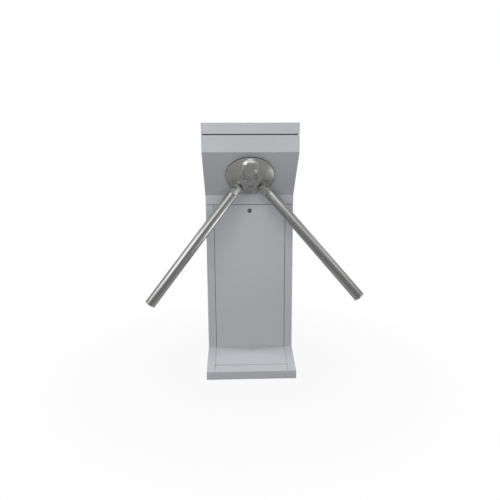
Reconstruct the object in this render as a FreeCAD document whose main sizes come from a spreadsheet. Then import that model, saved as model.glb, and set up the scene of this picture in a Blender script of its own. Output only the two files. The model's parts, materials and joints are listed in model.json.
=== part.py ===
"""Tripod turnstile: a C-shaped sheet-steel cabinet with a 45 degree tripod rotor.

Millimetres, +Z up, the front of the cabinet faces -Y. The origin is on the floor, at the
centre of the four anchor holes. The rotor and its mechanism are drawn in a hub frame whose
Z runs out of the sloped face along the rotor axis, whose X is the cabinet's X, and whose Y
climbs the slope. An arm is drawn along Z from its own hinge pin.
"""
import FreeCAD, Part
import math
import os
import re
import Sketcher

SIZES = (
    ("cabinet_width", 360, "outside width of the head"),
    ("cabinet_depth", 356, "foot front to back panel"),
    ("cabinet_height", 995, "floor to lid top"),
    ("sheet", 2, "cabinet sheet thickness"),
    ("assembly_gap", 0.2, "clearance between parts that are slid together"),
    ("foot_projection", 156, "foot front ahead of the column front"),
    ("foot_lip_height", 33, "height of the foot's front face"),
    ("foot_back_height", 76, "height of the foot's top at the column"),
    ("foot_split", 116, "joint across the foot, ahead of the column front"),
    ("head_projection", 162, "head front ahead of the column front"),
    ("lid_height", 40, "lid skirt height"),
    ("lid_gap", 4, "shadow gap under the lid"),
    ("lid_edge_radius", 1.5, "rounding of the lid's folded edges"),
    ("band_height", 61, "upright front band of the head"),
    ("skirt_height", 38, "head skirt below the slope"),
    ("hub_slope", 45, "rotor axis below the horizontal, degrees"),
    ("seam_gap", 2, "joint between head and column"),
    ("seam_step", 0.5, "column set in from the head on each side"),
    ("top_flange", 18, "inward flange of head top and lid bottom"),
    ("seal_inset", 7, "seal set in from the head's outer face"),
    ("seal_width", 8, "seal width"),
    ("cheek_flange", 32, "front flange of a side cheek"),
    ("panel_gap", 2, "gap round the front cover"),
    ("ledge_lap", 12, "seat strip under the cheek flange"),
    ("ledge_width", 10, "seat strip under the front cover"),
    ("base_thickness", 6, "base plate"),
    ("anchor_spacing_x", 260, "anchor holes across"),
    ("anchor_spacing_y", 260, "anchor holes front to back"),
    ("anchor_hole", 14, "anchor hole diameter"),
    ("cable_entry", 50, "cable entry diameter"),
    ("cable_entry_back", 100, "cable entry behind the origin"),
    ("rib_spread", 90, "foot ribs from the middle"),
    ("rib_thickness", 4, "foot rib"),
    ("rib_inset", 3, "foot rib ends from the sheets"),
    ("back_flange", 20, "side flange of the back panel"),
    ("frame_wall", 3, "joint frame wall"),
    ("frame_below", 12, "joint frame below the seam"),
    ("frame_above", 26, "joint frame above the seam"),
    ("lock_drop", 24, "cover lock below the cover's top edge"),
    ("lock_flange", 19, "lock face diameter"),
    ("lock_flange_height", 2, "lock face stands out"),
    ("lock_barrel", 16, "lock barrel diameter"),
    ("lock_depth", 15, "cover front to the lock's cam"),
    ("lock_nut_width", 24, "lock nut across corners"),
    ("lock_nut_height", 5, "lock nut"),
    ("lock_plug", 11, "lock plug diameter"),
    ("key_slot", 1.6, "key slot width"),
    ("key_slot_length", 7, "key slot length"),
    ("key_slot_depth", 6, "key slot depth"),
    ("cam_length", 24, "lock cam from its centre"),
    ("cam_width", 12, "lock cam width"),
    ("cam_thickness", 3, "lock cam"),
    ("keeper_width", 40, "lock keeper width"),
    ("keeper_wall", 3, "lock keeper"),
    ("keeper_drop", 8, "lock keeper's lip"),
    ("running_gap", 0.05, "radial clearance of turning parts"),
    ("slope_hole", 92, "hole in the sloped face"),
    ("rotor_turn", 2.5, "how far the rotor stands turned in its play, degrees"),
    ("rotor_plate_gap", 4, "slope to rotor plate"),
    ("rotor_plate_radius", 95.5, "rotor plate"),
    ("rotor_plate_thickness", 4, "rotor plate"),
    ("dome_radius", 96, "rotor dome"),
    ("dome_edge_height", 2.5, "upright rim of the dome"),
    ("dome_rise", 24, "dome height above its rim"),
    ("dome_thickness", 2.5, "dome wall"),
    ("dome_slot_gap", 0.5, "dome clear of the forks"),
    ("dome_boss_radius", 6, "dome seat"),
    ("dome_boss_place", 78, "dome seats from the axis"),
    ("nose_radius", 42, "hub nose"),
    ("nose_height", 31, "hub nose face above the slope"),
    ("nose_bevel", 1.5, "hub nose edge"),
    ("screw_circle", 26.7, "hub screws from the axis"),
    ("screw_radius", 4, "M8 screw"),
    ("screw_head_radius", 6.5, "M8 socket head"),
    ("screw_head_height", 8, "M8 socket head"),
    ("screw_socket", 3.5, "hexagon socket, corner radius"),
    ("screw_socket_depth", 5, "hexagon socket"),
    ("counterbore_radius", 7.5, "recess of a hub screw"),
    ("counterbore_depth", 9.5, "recess of a hub screw"),
    ("fork_width", 50, "fork over both lugs"),
    ("fork_slot", 20, "fork slot"),
    ("fork_slot_start", 39.6, "slot end from the rotor axis"),
    ("fork_slot_floor", 16, "slot floor above the slope"),
    ("pin_place", 57, "arm hinge pin from the rotor axis"),
    ("pin_height", 36, "arm hinge pin above the slope"),
    ("pin_radius", 4, "arm hinge pin"),
    ("lug_radius", 13.5, "lug round the hinge pin"),
    ("arm_spread", 45, "arm from the rotor axis, degrees"),
    ("arm_radius", 20, "arm tube"),
    ("arm_wall", 2, "arm tube wall"),
    ("arm_length", 562, "hinge pin to arm tip"),
    ("arm_shoulder", 34, "hinge pin to the round of the arm root"),
    ("arm_tube_start", 42, "hinge pin to the tube"),
    ("arm_spigot", 40, "arm root inside the tube"),
    ("tang_radius", 12, "arm root round the hinge pin"),
    ("tang_clearance", 0.3, "arm tang clear of each lug"),
    ("cap_thickness", 6, "arm cap"),
    ("cap_rounding", 4, "arm cap edge"),
    ("cap_spigot", 18, "arm cap inside the tube"),
    ("shaft_flange_thickness", 8, "shaft flange"),
    ("shaft_collar", 5, "shaft collar"),
    ("shaft_collar_radius", 18, "shaft collar"),
    ("shaft_radius", 15, "bearing seat"),
    ("bearing_outer", 31, "bearing outside radius"),
    ("bearing_width", 16, "bearing"),
    ("bearing_race", 3.8, "bearing ring wall"),
    ("bearing_span", 79, "over both bearings"),
    ("ball_radius", 4.4, "bearing ball"),
    ("ball_gap", 0.3, "ball to race"),
    ("cage_thickness", 2.4, "ball cage"),
    ("cage_rim", 0.8, "ball cage past the balls"),
    ("mechanism_plate_thickness", 10, "mechanism plate"),
    ("mechanism_plate_up", 95, "mechanism plate above the axis"),
    ("mechanism_plate_down", 100, "mechanism plate below the axis"),
    ("stud_across", 150, "weld studs from the axis, across"),
    ("stud_along", 70, "weld studs from the axis, along the slope"),
    ("stud_length", 22, "weld stud"),
    ("nut_corner", 7.5, "M8 nut corner radius"),
    ("nut_height", 6.5, "M8 nut"),
    ("housing_spigot", 4, "housing in the plate"),
    ("housing_flange_radius", 65, "housing flange"),
    ("housing_flange_thickness", 10, "housing flange"),
    ("housing_radius", 42, "housing body"),
    ("housing_shoulder", 27, "housing bore between the bearings"),
    ("housing_lip", 2, "housing past the rear bearing"),
    ("housing_screw_circle", 56, "housing screws from the axis"),
    ("carrier_thickness", 5, "carrier plate"),
    ("carrier_half_width", 158, "carrier plate from the axis"),
    ("carrier_up", 62, "carrier plate above the axis"),
    ("carrier_down", 108, "carrier plate below the axis"),
    ("carrier_hole", 26, "carrier hole for the shaft"),
    ("pillar_radius", 7, "carrier pillar"),
    ("pillar_across", 125, "carrier pillars from the axis"),
    ("pillar_up", 50, "upper carrier pillars"),
    ("pillar_down", 85, "lower carrier pillars"),
    ("spacer_radius", 19, "shaft spacer"),
    ("gear_clearance", 5, "carrier to gear"),
    ("gear_width", 12, "gear face"),
    ("gear_module", 2, "gear module"),
    ("gear_teeth", 60, "main gear"),
    ("pinion_teeth", 15, "motor pinion"),
    ("gear_backlash", 0.35, "play at the pitch circle"),
    ("gear_hub_radius", 22, "gear hub"),
    ("wheel_spacing", 4, "gear to lock wheel"),
    ("wheel_thickness", 10, "lock wheel"),
    ("wheel_radius", 62, "lock wheel"),
    ("notch_count", 6, "lock wheel notches"),
    ("notch_width", 18, "lock wheel notch"),
    ("notch_depth", 10, "lock wheel notch"),
    ("shaft_nut_radius", 24, "shaft nut corner radius"),
    ("shaft_nut_height", 12, "shaft nut"),
    ("stub_radius", 6, "shaft end"),
    ("stub_length", 14, "shaft end"),
    ("encoder_radius", 30, "encoder disc"),
    ("encoder_thickness", 1.5, "encoder disc"),
    ("encoder_gap", 8, "shaft nut to encoder disc"),
    ("sensor_gap", 1.2, "sensor clear of the disc"),
    ("sensor_wall", 4, "sensor jaw"),
    ("sensor_reach", 6, "sensor over the disc's edge"),
    ("sensor_width", 14, "sensor"),
    ("sensor_post_place", 78, "sensor post from the axis"),
    ("sensor_post_width", 10, "sensor post"),
    ("sensor_bearing", 150, "sensor from the top of the slope, degrees"),
    ("motor_radius", 22, "motor gearbox"),
    ("motor_can_radius", 19, "motor can"),
    ("motor_gearbox_length", 30, "motor gearbox"),
    ("motor_length", 62, "motor over all"),
    ("motor_shaft_radius", 5, "motor shaft"),
    ("motor_shaft_seat", 12, "motor shaft in the gearbox"),
    ("pawl_pin_across", 59, "pawl pins from the axis, across"),
    ("pawl_pin_up", 46, "pawl pins above the axis"),
    ("pawl_pin_radius", 5, "pawl pin"),
    ("pawl_boss_radius", 10, "pawl round its pin"),
    ("pawl_clearance", 1.5, "resting pawl to the lock wheel"),
    ("pawl_side_gap", 0.3, "pawl clear of the spacer"),
    ("pawl_nose_width", 11, "pawl nose"),
    ("pawl_back", 20, "pawl back from its pin"),
    ("pawl_arm_width", 8, "pawl arm"),
    ("solenoid_length", 50, "solenoid"),
    ("solenoid_width", 46, "solenoid"),
    ("solenoid_gap", 24, "solenoid to the pawl's back"),
    ("plunger_radius", 6, "solenoid plunger"),
    ("plunger_seat", 34, "plunger inside the solenoid"),
    ("plunger_gap", 0.3, "plunger to pawl"),
    ("panel_half_width", 110, "electronics panel"),
    ("panel_drop", 88, "electronics panel below the column's top"),
    ("panel_height", 420, "electronics panel"),
    ("panel_thickness", 2, "electronics panel"),
    ("spacer_length", 10, "panel spacers"),
    ("panel_spacer_radius", 6, "panel spacers"),
    ("panel_spacer_inset", 15, "panel spacers from the edge"),
    ("board_width", 160, "control board"),
    ("board_height", 120, "control board"),
    ("board_thickness", 1.6, "control board"),
    ("board_drop", 40, "control board below the panel's upper edge"),
    ("standoff_length", 8, "board standoffs"),
    ("standoff_radius", 3, "board standoffs"),
    ("standoff_inset", 6, "board standoffs from the edge"),
    ("terminal_count", 4, "terminal blocks"),
    ("terminal_width", 26, "terminal block"),
    ("terminal_height", 11, "terminal block"),
    ("terminal_depth", 12, "terminal block"),
    ("terminal_pitch", 36, "terminal block spacing"),
    ("supply_width", 160, "power supply"),
    ("supply_height", 98, "power supply"),
    ("supply_depth", 40, "power supply"),
    ("supply_rise", 40, "power supply above the panel's lower edge"),
)

DERIVED = (
    ("half_width", "cabinet_width / 2"),
    ("column_half", "half_width - seam_step"),
    ("back_face", "cabinet_depth / 2"),
    ("foot_front", "-cabinet_depth / 2"),
    ("foot_inside", "foot_front + sheet"),
    ("column_front", "foot_front + foot_projection"),
    ("band_front", "column_front - head_projection"),
    ("lid_bottom", "cabinet_height - lid_height"),
    ("head_top", "lid_bottom - lid_gap"),
    ("fold_height", "head_top - band_height"),
    ("slope_drop", "head_projection / tan(hub_slope)"),
    ("slope_foot", "fold_height - slope_drop"),
    ("head_bottom", "slope_foot - skirt_height"),
    ("column_top", "head_bottom - seam_gap"),
    ("slope_bend", "sheet * tan(hub_slope / 2)"),
    ("foot_rise", "(foot_back_height - foot_lip_height) / foot_projection"),
    ("foot_stretch", "sqrt(1 + foot_rise ^ 2)"),
    ("flange_edge", "column_half - cheek_flange"),
    ("cover_half", "flange_edge - panel_gap"),
    ("cover_start", "column_front - foot_split + panel_gap / 2"),
    ("strip_end", "column_front - foot_split - panel_gap / 2"),
    ("inner_half", "column_half - sheet - assembly_gap"),
    ("frame_half", "inner_half - sheet - assembly_gap"),
    ("frame_front", "column_front + 2 * sheet + assembly_gap"),
    ("frame_low", "head_bottom - frame_below"),
    ("lock_height", "column_top - lock_drop"),
    ("cam_front", "column_front + lock_depth"),
    ("hub_depth", "column_front - head_projection / 2"),
    ("hub_height", "slope_foot + slope_drop / 2"),
    ("hub_seat", "rotor_plate_gap + rotor_plate_thickness"),
    ("dome_edge", "hub_seat + dome_thickness"),
    ("dome_low", "dome_edge - dome_edge_height"),
    ("dome_sphere", "(dome_radius ^ 2 + dome_rise ^ 2) / (2 * dome_rise)"),
    ("dome_centre", "dome_edge + dome_rise - dome_sphere"),
    ("flange_back", "rotor_plate_gap - shaft_flange_thickness"),
    ("bearing_front", "flange_back - shaft_collar"),
    ("bearing_rear", "bearing_front - bearing_span"),
    ("plate_front", "-sheet"),
    ("plate_back", "plate_front - mechanism_plate_thickness"),
    ("housing_front", "plate_back + housing_spigot"),
    ("housing_rear", "bearing_rear - housing_lip"),
    ("carrier_back", "housing_rear - carrier_thickness"),
    ("gear_front", "carrier_back - gear_clearance"),
    ("gear_back", "gear_front - gear_width"),
    ("wheel_front", "gear_back - wheel_spacing"),
    ("wheel_back", "wheel_front - wheel_thickness"),
    ("wheel_middle", "wheel_front - wheel_thickness / 2"),
    ("nut_back", "wheel_back - shaft_nut_height"),
    ("shaft_end", "nut_back - stub_length"),
    ("encoder_back", "nut_back - encoder_gap - encoder_thickness"),
    ("gear_centres", "gear_module * (gear_teeth + pinion_teeth) / 2"),
    ("pawl_nose_across", "wheel_radius + pawl_clearance"),
    ("pawl_back_across", "pawl_pin_across + pawl_back"),
    ("solenoid_start", "pawl_back_across + solenoid_gap"),
    ("panel_back", "back_face - sheet - spacer_length"),
    ("panel_front", "panel_back - panel_thickness"),
    ("panel_high", "column_top - panel_drop"),
    ("panel_low", "panel_high - panel_height"),
    ("board_back", "panel_front - standoff_length"),
    ("board_low", "panel_high - board_drop - board_height"),
    ("supply_low", "panel_low + supply_rise"),
    ("tang_half", "fork_slot / 2 - tang_clearance"),
    ("tube_bore", "arm_radius - arm_wall"),
    ("spigot_radius", "tube_bore - running_gap"),
    ("ball_circle", "(shaft_radius + bearing_outer) / 2"),
)

doc = FreeCAD.newDocument("tripod_turnstile")
dim = doc.addObject("Spreadsheet::Sheet", "dim")
NAMES = {row[0] for row in SIZES} | {row[0] for row in DERIVED}
PARTS = []
IDENTITY = FreeCAD.Placement()
ACROSS = FreeCAD.Rotation(FreeCAD.Vector(0, 1, 0), 90)
REARWARD = FreeCAD.Rotation(FreeCAD.Vector(1, 0, 0), -90)
SIDES = (("left", -1), ("right", 1))
ARMS = (("front", 0), ("left", 1), ("right", 2))
BLADES = len(ARMS)


def fill_sheet():
    """Write the driving sizes as numbers and the derived sizes as formulas."""
    for row, (name, number, meaning) in enumerate(SIZES, start=1):
        dim.set(f"A{row}", meaning)
        dim.set(f"B{row}", str(number))
        dim.setAlias(f"B{row}", name)
    for row, (name, formula) in enumerate(DERIVED, start=1):
        dim.set(f"D{row}", "=" + formula)
        dim.setAlias(f"D{row}", name)
    doc.recompute()


def scoped(formula):
    """Name the sheet in front of each of its aliases in a formula."""
    def name(match):
        word = match.group()
        return "dim." + word if word in NAMES else word

    return re.sub(r"[a-z][a-z_]*", name, formula)


def value(formula):
    """Work a formula out as a number."""
    return float(dim.evalExpression(scoped(formula)))


def bind(thing, **formulas):
    """Tie properties of an object to formulas; __ stands for a dot in a property path."""
    for path, formula in formulas.items():
        thing.setExpression(path.replace("__", "."), scoped(formula))
    return thing


def at(thing, x="0", y="0", z="0", turn=None):
    """Place an object by formulas, with a fixed rotation."""
    if turn is not None:
        thing.Placement = FreeCAD.Placement(FreeCAD.Vector(), turn)
    return bind(thing, Placement__Base__x=x, Placement__Base__y=y, Placement__Base__z=z)


def box(low, high):
    """Make a box between two corners given as formulas."""
    block = doc.addObject("Part::Box", "box")
    spans = [f"({end}) - ({start})" for start, end in zip(low, high)]
    bind(block, Length=spans[0], Width=spans[1], Height=spans[2])
    return at(block, *low)


def rod(radius, length, x="0", y="0", z="0", turn=None):
    """Make a cylinder from a point, along Z unless it is turned."""
    cylinder = bind(doc.addObject("Part::Cylinder", "rod"), Radius=radius, Height=length)
    return at(cylinder, x, y, z, turn)


def ball(radius, x="0", y="0", z="0"):
    """Make a sphere about a point."""
    return at(bind(doc.addObject("Part::Sphere", "ball"), Radius=radius), x, y, z)


def hexagon(corner, length, x="0", y="0", z="0", turn=None):
    """Make a six-sided prism."""
    prism = doc.addObject("Part::Prism", "hexagon")
    prism.Polygon = 6
    return at(bind(prism, Circumradius=corner, Height=length), x, y, z, turn)


def fuse(*things):
    """Join objects into one solid."""
    joined = doc.addObject("Part::MultiFuse", "fuse")
    joined.Shapes = list(things)
    joined.Refine = True
    return joined


def cut(base, *tools):
    """Take tools away from a base."""
    result = doc.addObject("Part::Cut", "cut")
    result.Base = base
    result.Tool = tools[0] if len(tools) == 1 else fuse(*tools)
    result.Refine = True
    return result


def common(first, second):
    """Keep what two objects share."""
    result = doc.addObject("Part::Common", "common")
    result.Base = first
    result.Tool = second
    return result


def group(things):
    """Hold separate solids together as one part."""
    compound = doc.addObject("Part::Compound", "group")
    compound.Links = list(things)
    return compound


def plane_of(body, role):
    """Find one of a body's own origin planes."""
    return next(item for item in body.Origin.OriginFeatures if item.Role == role)


def outline(body, role, points, start="0"):
    """Draw a closed outline of formula points on a plane of the body, fully dimensioned."""
    sketch = body.newObject("Sketcher::SketchObject", "outline")
    sketch.AttachmentSupport = [(plane_of(body, role), "")]
    sketch.MapMode = "FlatFace"
    bind(sketch, AttachmentOffset__Base__z=start)
    corners = [FreeCAD.Vector(value(x), value(y), 0) for x, y in points]
    count = len(corners)
    for index, corner in enumerate(corners):
        sketch.addGeometry(Part.LineSegment(corner, corners[(index + 1) % count]), False)
    for index in range(count):
        sketch.addConstraint(Sketcher.Constraint("Coincident", index, 2, (index + 1) % count, 1))
    for index, (corner, formulas) in enumerate(zip(corners, points)):
        for kind, number, formula in zip(("DistanceX", "DistanceY"), corner, formulas):
            place = sketch.addConstraint(Sketcher.Constraint(kind, -1, 1, index, 1, number))
            sketch.setExpression(f"Constraints[{place}]", scoped(formula))
    return sketch


def pad(body, role, points, start, length):
    """Add a straight prism of an outline to the body."""
    feature = body.newObject("PartDesign::Pad", "pad")
    feature.Profile = outline(body, role, points, start)
    bind(feature, Length=length)
    return feature


def prism(role, points, start, length):
    """Make a body of one straight prism."""
    body = doc.addObject("PartDesign::Body", "prism")
    pad(body, role, points, start, length)
    return body


def turned(points):
    """Turn an outline of (radius, height) formula points about Z."""
    body = doc.addObject("PartDesign::Body", "turned")
    sketch = outline(body, "XZ_Plane", points)
    feature = body.newObject("PartDesign::Revolution", "revolution")
    feature.Profile = sketch
    feature.ReferenceAxis = (sketch, ["V_Axis"])
    feature.Angle = 360
    return body


def ring(inner, outer, low, high):
    """Turn a plain ring."""
    return turned([(inner, low), (outer, low), (outer, high), (inner, high)])


def rounded(thing, radius, wanted):
    """Round the edges of an object whose middle point passes a test."""
    doc.recompute()
    fillet = doc.addObject("Part::Fillet", "rounded")
    fillet.Base = thing
    edges = enumerate(thing.Shape.Edges, start=1)
    fillet.Edges = [(index, radius, radius) for index, edge in edges if wanted(edge)]
    return fillet


def keep(label, thing, placement=IDENTITY):
    """Name a finished part, put it in its place and remember it."""
    thing.Label = label
    if not placement.isIdentity():
        moved(thing, placement)
    PARTS.append(thing)
    return thing


def moved(thing, placement):
    """Carry an object to a frame, with its own place worked out from the sheet first."""
    doc.recompute()
    for axis in "xyz":
        thing.setExpression(f"Placement.Base.{axis}", None)
    thing.Placement = placement.multiply(thing.Placement)
    return thing


def spun(angle):
    """Turn about Z by an angle in degrees."""
    return FreeCAD.Placement(FreeCAD.Vector(), FreeCAD.Rotation(FreeCAD.Vector(0, 0, 1), angle))


def slope_height(depth):
    """Give the height of the foot's top at a depth, as a formula."""
    return f"(foot_back_height + (({depth}) - column_front) * foot_rise)"


def front_band(shallow, deep, start):
    """Outline a sheet that follows the foot's top and the column front, between two depths."""
    outer = f"column_front + {shallow}"
    inner = f"column_front + {deep}"
    return [
        (start, f"{slope_height(start)} - {shallow} * foot_stretch"),
        (outer, f"{slope_height(outer)} - {shallow} * foot_stretch"),
        (outer, "column_top"),
        (inner, "column_top"),
        (inner, f"{slope_height(inner)} - {deep} * foot_stretch"),
        (start, f"{slope_height(start)} - {deep} * foot_stretch"),
    ]


def make_base():
    """Base plate with anchor holes and cable entry, and the ribs under the foot's top."""
    low = ("-inner_half", "foot_inside + assembly_gap", "0")
    plate = box(low, ("inner_half", "back_face", "base_thickness"))
    holes = [rod("cable_entry / 2", "base_thickness", y="cable_entry_back")]
    for across in (-1, 1):
        for along in (-1, 1):
            x = f"{across} * anchor_spacing_x / 2"
            y = f"{along} * anchor_spacing_y / 2"
            holes.append(rod("anchor_hole / 2", "base_thickness", x, y))
    keep("base_plate", cut(plate, *holes))
    front = "foot_inside + rib_inset"
    rear = "column_front - rib_inset"
    wedge = [
        (front, "base_thickness"),
        (rear, "base_thickness"),
        (rear, f"{slope_height(rear)} - sheet * foot_stretch"),
        (front, f"{slope_height(front)} - sheet * foot_stretch"),
    ]
    starts = [f"{side} * rib_spread - rib_thickness / 2" for _, side in SIDES]
    keep("foot_ribs", group(prism("YZ_Plane", wedge, start, "rib_thickness") for start in starts))


def make_cheek(name, side):
    """Side cheek: an L-shaped wall with a front flange and a seat strip for the cover."""
    wall = [
        ("foot_inside", "0"),
        ("foot_inside", slope_height("foot_inside")),
        ("column_front", "foot_back_height"),
        ("column_front", "column_top"),
        ("back_face", "column_top"),
        ("back_face", "0"),
    ]
    ledge_outer = "flange_edge + ledge_lap"
    ledge_span = "ledge_lap + panel_gap + ledge_width"
    starts = {
        -1: ("-column_half", "-column_half", f"-({ledge_outer})"),
        1: ("column_half - sheet", "flange_edge", f"{ledge_outer} - ({ledge_span})"),
    }[side]
    body = doc.addObject("PartDesign::Body", "cheek")
    pad(body, "YZ_Plane", wall, starts[0], "sheet")
    pad(body, "YZ_Plane", front_band("0", "sheet", "foot_inside"), starts[1], "cheek_flange")
    pad(body, "YZ_Plane", front_band("sheet", "2 * sheet", "foot_inside"), starts[2], ledge_span)
    keep(f"{name}_cheek", body)


def make_column():
    """Back panel, front cover and the nose of the foot."""
    panel = [
        ("-inner_half", "back_face"),
        ("-inner_half", "back_face - back_flange"),
        ("-inner_half + sheet", "back_face - back_flange"),
        ("-inner_half + sheet", "back_face - sheet"),
        ("inner_half - sheet", "back_face - sheet"),
        ("inner_half - sheet", "back_face - back_flange"),
        ("inner_half", "back_face - back_flange"),
        ("inner_half", "back_face"),
    ]
    keep("back_panel", prism("XY_Plane", panel, "base_thickness", "column_top - base_thickness"))
    cover = prism("YZ_Plane", front_band("0", "sheet", "cover_start"), "-cover_half", "2 * cover_half")
    keep("front_cover", cut(cover, lock_rod("lock_barrel / 2 + assembly_gap", "column_front", "lock_depth")))
    face = [
        ("foot_front", "0"),
        ("foot_front", "foot_lip_height"),
        ("foot_inside", slope_height("foot_inside")),
        ("foot_inside", "0"),
    ]
    strip = [
        ("foot_front", "foot_lip_height"),
        ("strip_end", slope_height("strip_end")),
        ("strip_end", f"{slope_height('strip_end')} - sheet * foot_stretch"),
        ("foot_front", "foot_lip_height - sheet * foot_stretch"),
    ]
    body = doc.addObject("PartDesign::Body", "foot_nose")
    pad(body, "YZ_Plane", face, "-column_half", "2 * column_half")
    pad(body, "YZ_Plane", strip, "-cover_half", "2 * cover_half")
    keep("foot_nose", body)


def make_joint_frame():
    """Rectangular frame inside the seam that ties head to column, with the lock's keeper on it."""
    low = ("-frame_half", "frame_front", "frame_low")
    high = ("frame_half", "back_face - sheet - assembly_gap", "head_bottom + frame_above")
    hole_low = ("-frame_half + frame_wall", "frame_front + frame_wall", "frame_low")
    hole_high = (
        "frame_half - frame_wall",
        "back_face - sheet - assembly_gap - frame_wall",
        "head_bottom + frame_above",
    )
    shelf_low = "frame_low + keeper_wall"
    lip_rear = "cam_front - assembly_gap"
    shelf = box(
        ("-keeper_width / 2", "frame_front", shelf_low),
        ("keeper_width / 2", lip_rear, f"{shelf_low} + keeper_wall"),
    )
    lip = box(
        ("-keeper_width / 2", f"{lip_rear} - keeper_wall", f"{shelf_low} - keeper_drop"),
        ("keeper_width / 2", lip_rear, f"{shelf_low} + keeper_wall"),
    )
    keep("joint_frame", fuse(cut(box(low, high), box(hole_low, hole_high)), shelf, lip))


def make_head(hub):
    """Head shell with its sloped face, the lid over it and the seal between them."""
    outside = [
        ("band_front", "head_top"),
        ("band_front", "fold_height"),
        ("column_front", "slope_foot"),
        ("column_front", "head_bottom"),
        ("back_face", "head_bottom"),
        ("back_face", "head_top"),
    ]
    inside = [
        ("band_front + sheet", "head_top - sheet"),
        ("band_front + sheet", "fold_height + slope_bend"),
        ("column_front + sheet", "slope_foot + slope_bend"),
        ("column_front + sheet", "head_bottom - sheet"),
        ("back_face - sheet", "head_bottom - sheet"),
        ("back_face - sheet", "head_top - sheet"),
    ]
    shell = prism("YZ_Plane", outside, "-half_width", "cabinet_width")
    hollow = prism("YZ_Plane", inside, "-half_width + sheet", "cabinet_width - 2 * sheet")
    mouth_low = ("-half_width + top_flange", "band_front + top_flange", "head_top - 2 * sheet")
    mouth_high = ("half_width - top_flange", "back_face - top_flange", "head_top + sheet")
    bore = moved(rod("slope_hole / 2", "4 * sheet", z="-3 * sheet"), hub)
    studs = []
    for x, y in stud_places():
        studs.append(moved(rod("screw_radius", "stud_length", x, y, "plate_front - stud_length"), hub))
    keep("head_shell", fuse(cut(shell, hollow, box(mouth_low, mouth_high), bore), *studs))
    lid_low = ("-half_width", "band_front", "lid_bottom")
    lid_outer = box(lid_low, ("half_width", "back_face", "cabinet_height"))
    lid_outer = rounded(lid_outer, value("lid_edge_radius"), lid_edge)
    lid_inner = box(
        ("-half_width + sheet", "band_front + sheet", "lid_bottom + sheet"),
        ("half_width - sheet", "back_face - sheet", "cabinet_height - sheet"),
    )
    lid_mouth = box(
        ("-half_width + top_flange", "band_front + top_flange", "lid_bottom"),
        ("half_width - top_flange", "back_face - top_flange", "lid_bottom + 2 * sheet"),
    )
    keep("top_lid", cut(lid_outer, lid_inner, lid_mouth))
    seal = []
    for inset in ("seal_inset", "seal_inset + seal_width"):
        low = (f"-half_width + {inset}", f"band_front + {inset}", "head_top")
        high = (f"half_width - ({inset})", f"back_face - ({inset})", "lid_bottom")
        seal.append(box(low, high))
    keep("lid_seal", cut(*seal))


def lid_edge(edge):
    """Tell the lid's upright and top edges from its bottom edges."""
    heights = [vertex.Z for vertex in edge.Vertexes]
    return max(heights) > value("lid_bottom + lid_height / 2")


def lock_rod(radius, start, length):
    """Make a rod on the lock's axis, rearward from a depth."""
    return rod(radius, length, "0", start, "lock_height", REARWARD)


def make_cover_lock():
    """Cam lock of the front cover: barrel, nut, plug and cam."""
    front = "column_front - lock_flange_height"
    flange = lock_rod("lock_flange / 2", front, "lock_flange_height")
    barrel = lock_rod("lock_barrel / 2", "column_front", "lock_depth")
    bore = lock_rod("lock_plug / 2 + running_gap", front, "lock_flange_height + lock_depth")
    keep("lock_barrel", cut(fuse(flange, barrel), bore))
    seat = "column_front + sheet"
    nut = hexagon("lock_nut_width / 2", "lock_nut_height", "0", seat, "lock_height", REARWARD)
    keep("lock_nut", cut(nut, lock_rod("lock_barrel / 2", seat, "lock_nut_height")))
    cam_start = "cam_front + assembly_gap"
    cam_end = f"{cam_start} + cam_thickness"
    plug = lock_rod("lock_plug / 2", front, f"{cam_end} - ({front})")
    slot = box(
        ("-key_slot / 2", front, "lock_height - key_slot_length / 2"),
        ("key_slot / 2", f"{front} + key_slot_depth", "lock_height + key_slot_length / 2"),
    )
    keep("lock_plug", cut(plug, slot))
    cam_round = lock_rod("lock_plug / 2 + cam_thickness", cam_start, "cam_thickness")
    cam_arm = box(
        ("-cam_width / 2", cam_start, "lock_height"),
        ("cam_width / 2", cam_end, "lock_height + cam_length"),
    )
    cam_eye = lock_rod("lock_plug / 2", "cam_front", "2 * cam_thickness")
    keep("lock_cam", cut(fuse(cam_round, cam_arm), cam_eye))


def make_arm(name, turn, rotor):
    """One folding arm: a tang in the fork, a tube and a closing cap, along Z from the pin."""
    pin = FreeCAD.Vector(0, value("pin_place"), value("pin_height"))
    lean = FreeCAD.Rotation(FreeCAD.Vector(1, 0, 0), -value("arm_spread"))
    frame = rotor.multiply(spun(turn)).multiply(FreeCAD.Placement(pin, lean))
    eye = rod("tang_radius", "2 * tang_half", "-tang_half", turn=ACROSS)
    blade = box(("-tang_half", "-tang_radius", "0"), ("tang_half", "tang_radius", "arm_tube_start"))
    shoulder = turned([
        ("0", "arm_shoulder"),
        ("arm_radius - arm_wall", "arm_shoulder"),
        ("arm_radius", "arm_shoulder + arm_wall"),
        ("arm_radius", "arm_tube_start"),
        ("spigot_radius", "arm_tube_start"),
        ("spigot_radius", "arm_tube_start + arm_spigot"),
        ("0", "arm_tube_start + arm_spigot"),
    ])
    pin_hole = rod("pin_radius + running_gap", "fork_width", "-fork_width / 2", turn=ACROSS)
    keep(f"{name}_arm_root", cut(fuse(eye, blade, shoulder), pin_hole), frame)
    tube_end = "arm_length - cap_thickness"
    keep(f"{name}_arm_tube", ring("tube_bore", "arm_radius", "arm_tube_start", tube_end), frame)
    cap = rod("arm_radius", "cap_thickness", z=tube_end)
    tip = value("arm_length")
    cap = rounded(cap, value("cap_rounding"), lambda edge: min(v.Z for v in edge.Vertexes) > tip - 0.01)
    plug = rod("spigot_radius", "cap_spigot", z=f"{tube_end} - cap_spigot")
    keep(f"{name}_arm_cap", fuse(cap, plug), frame)


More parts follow.
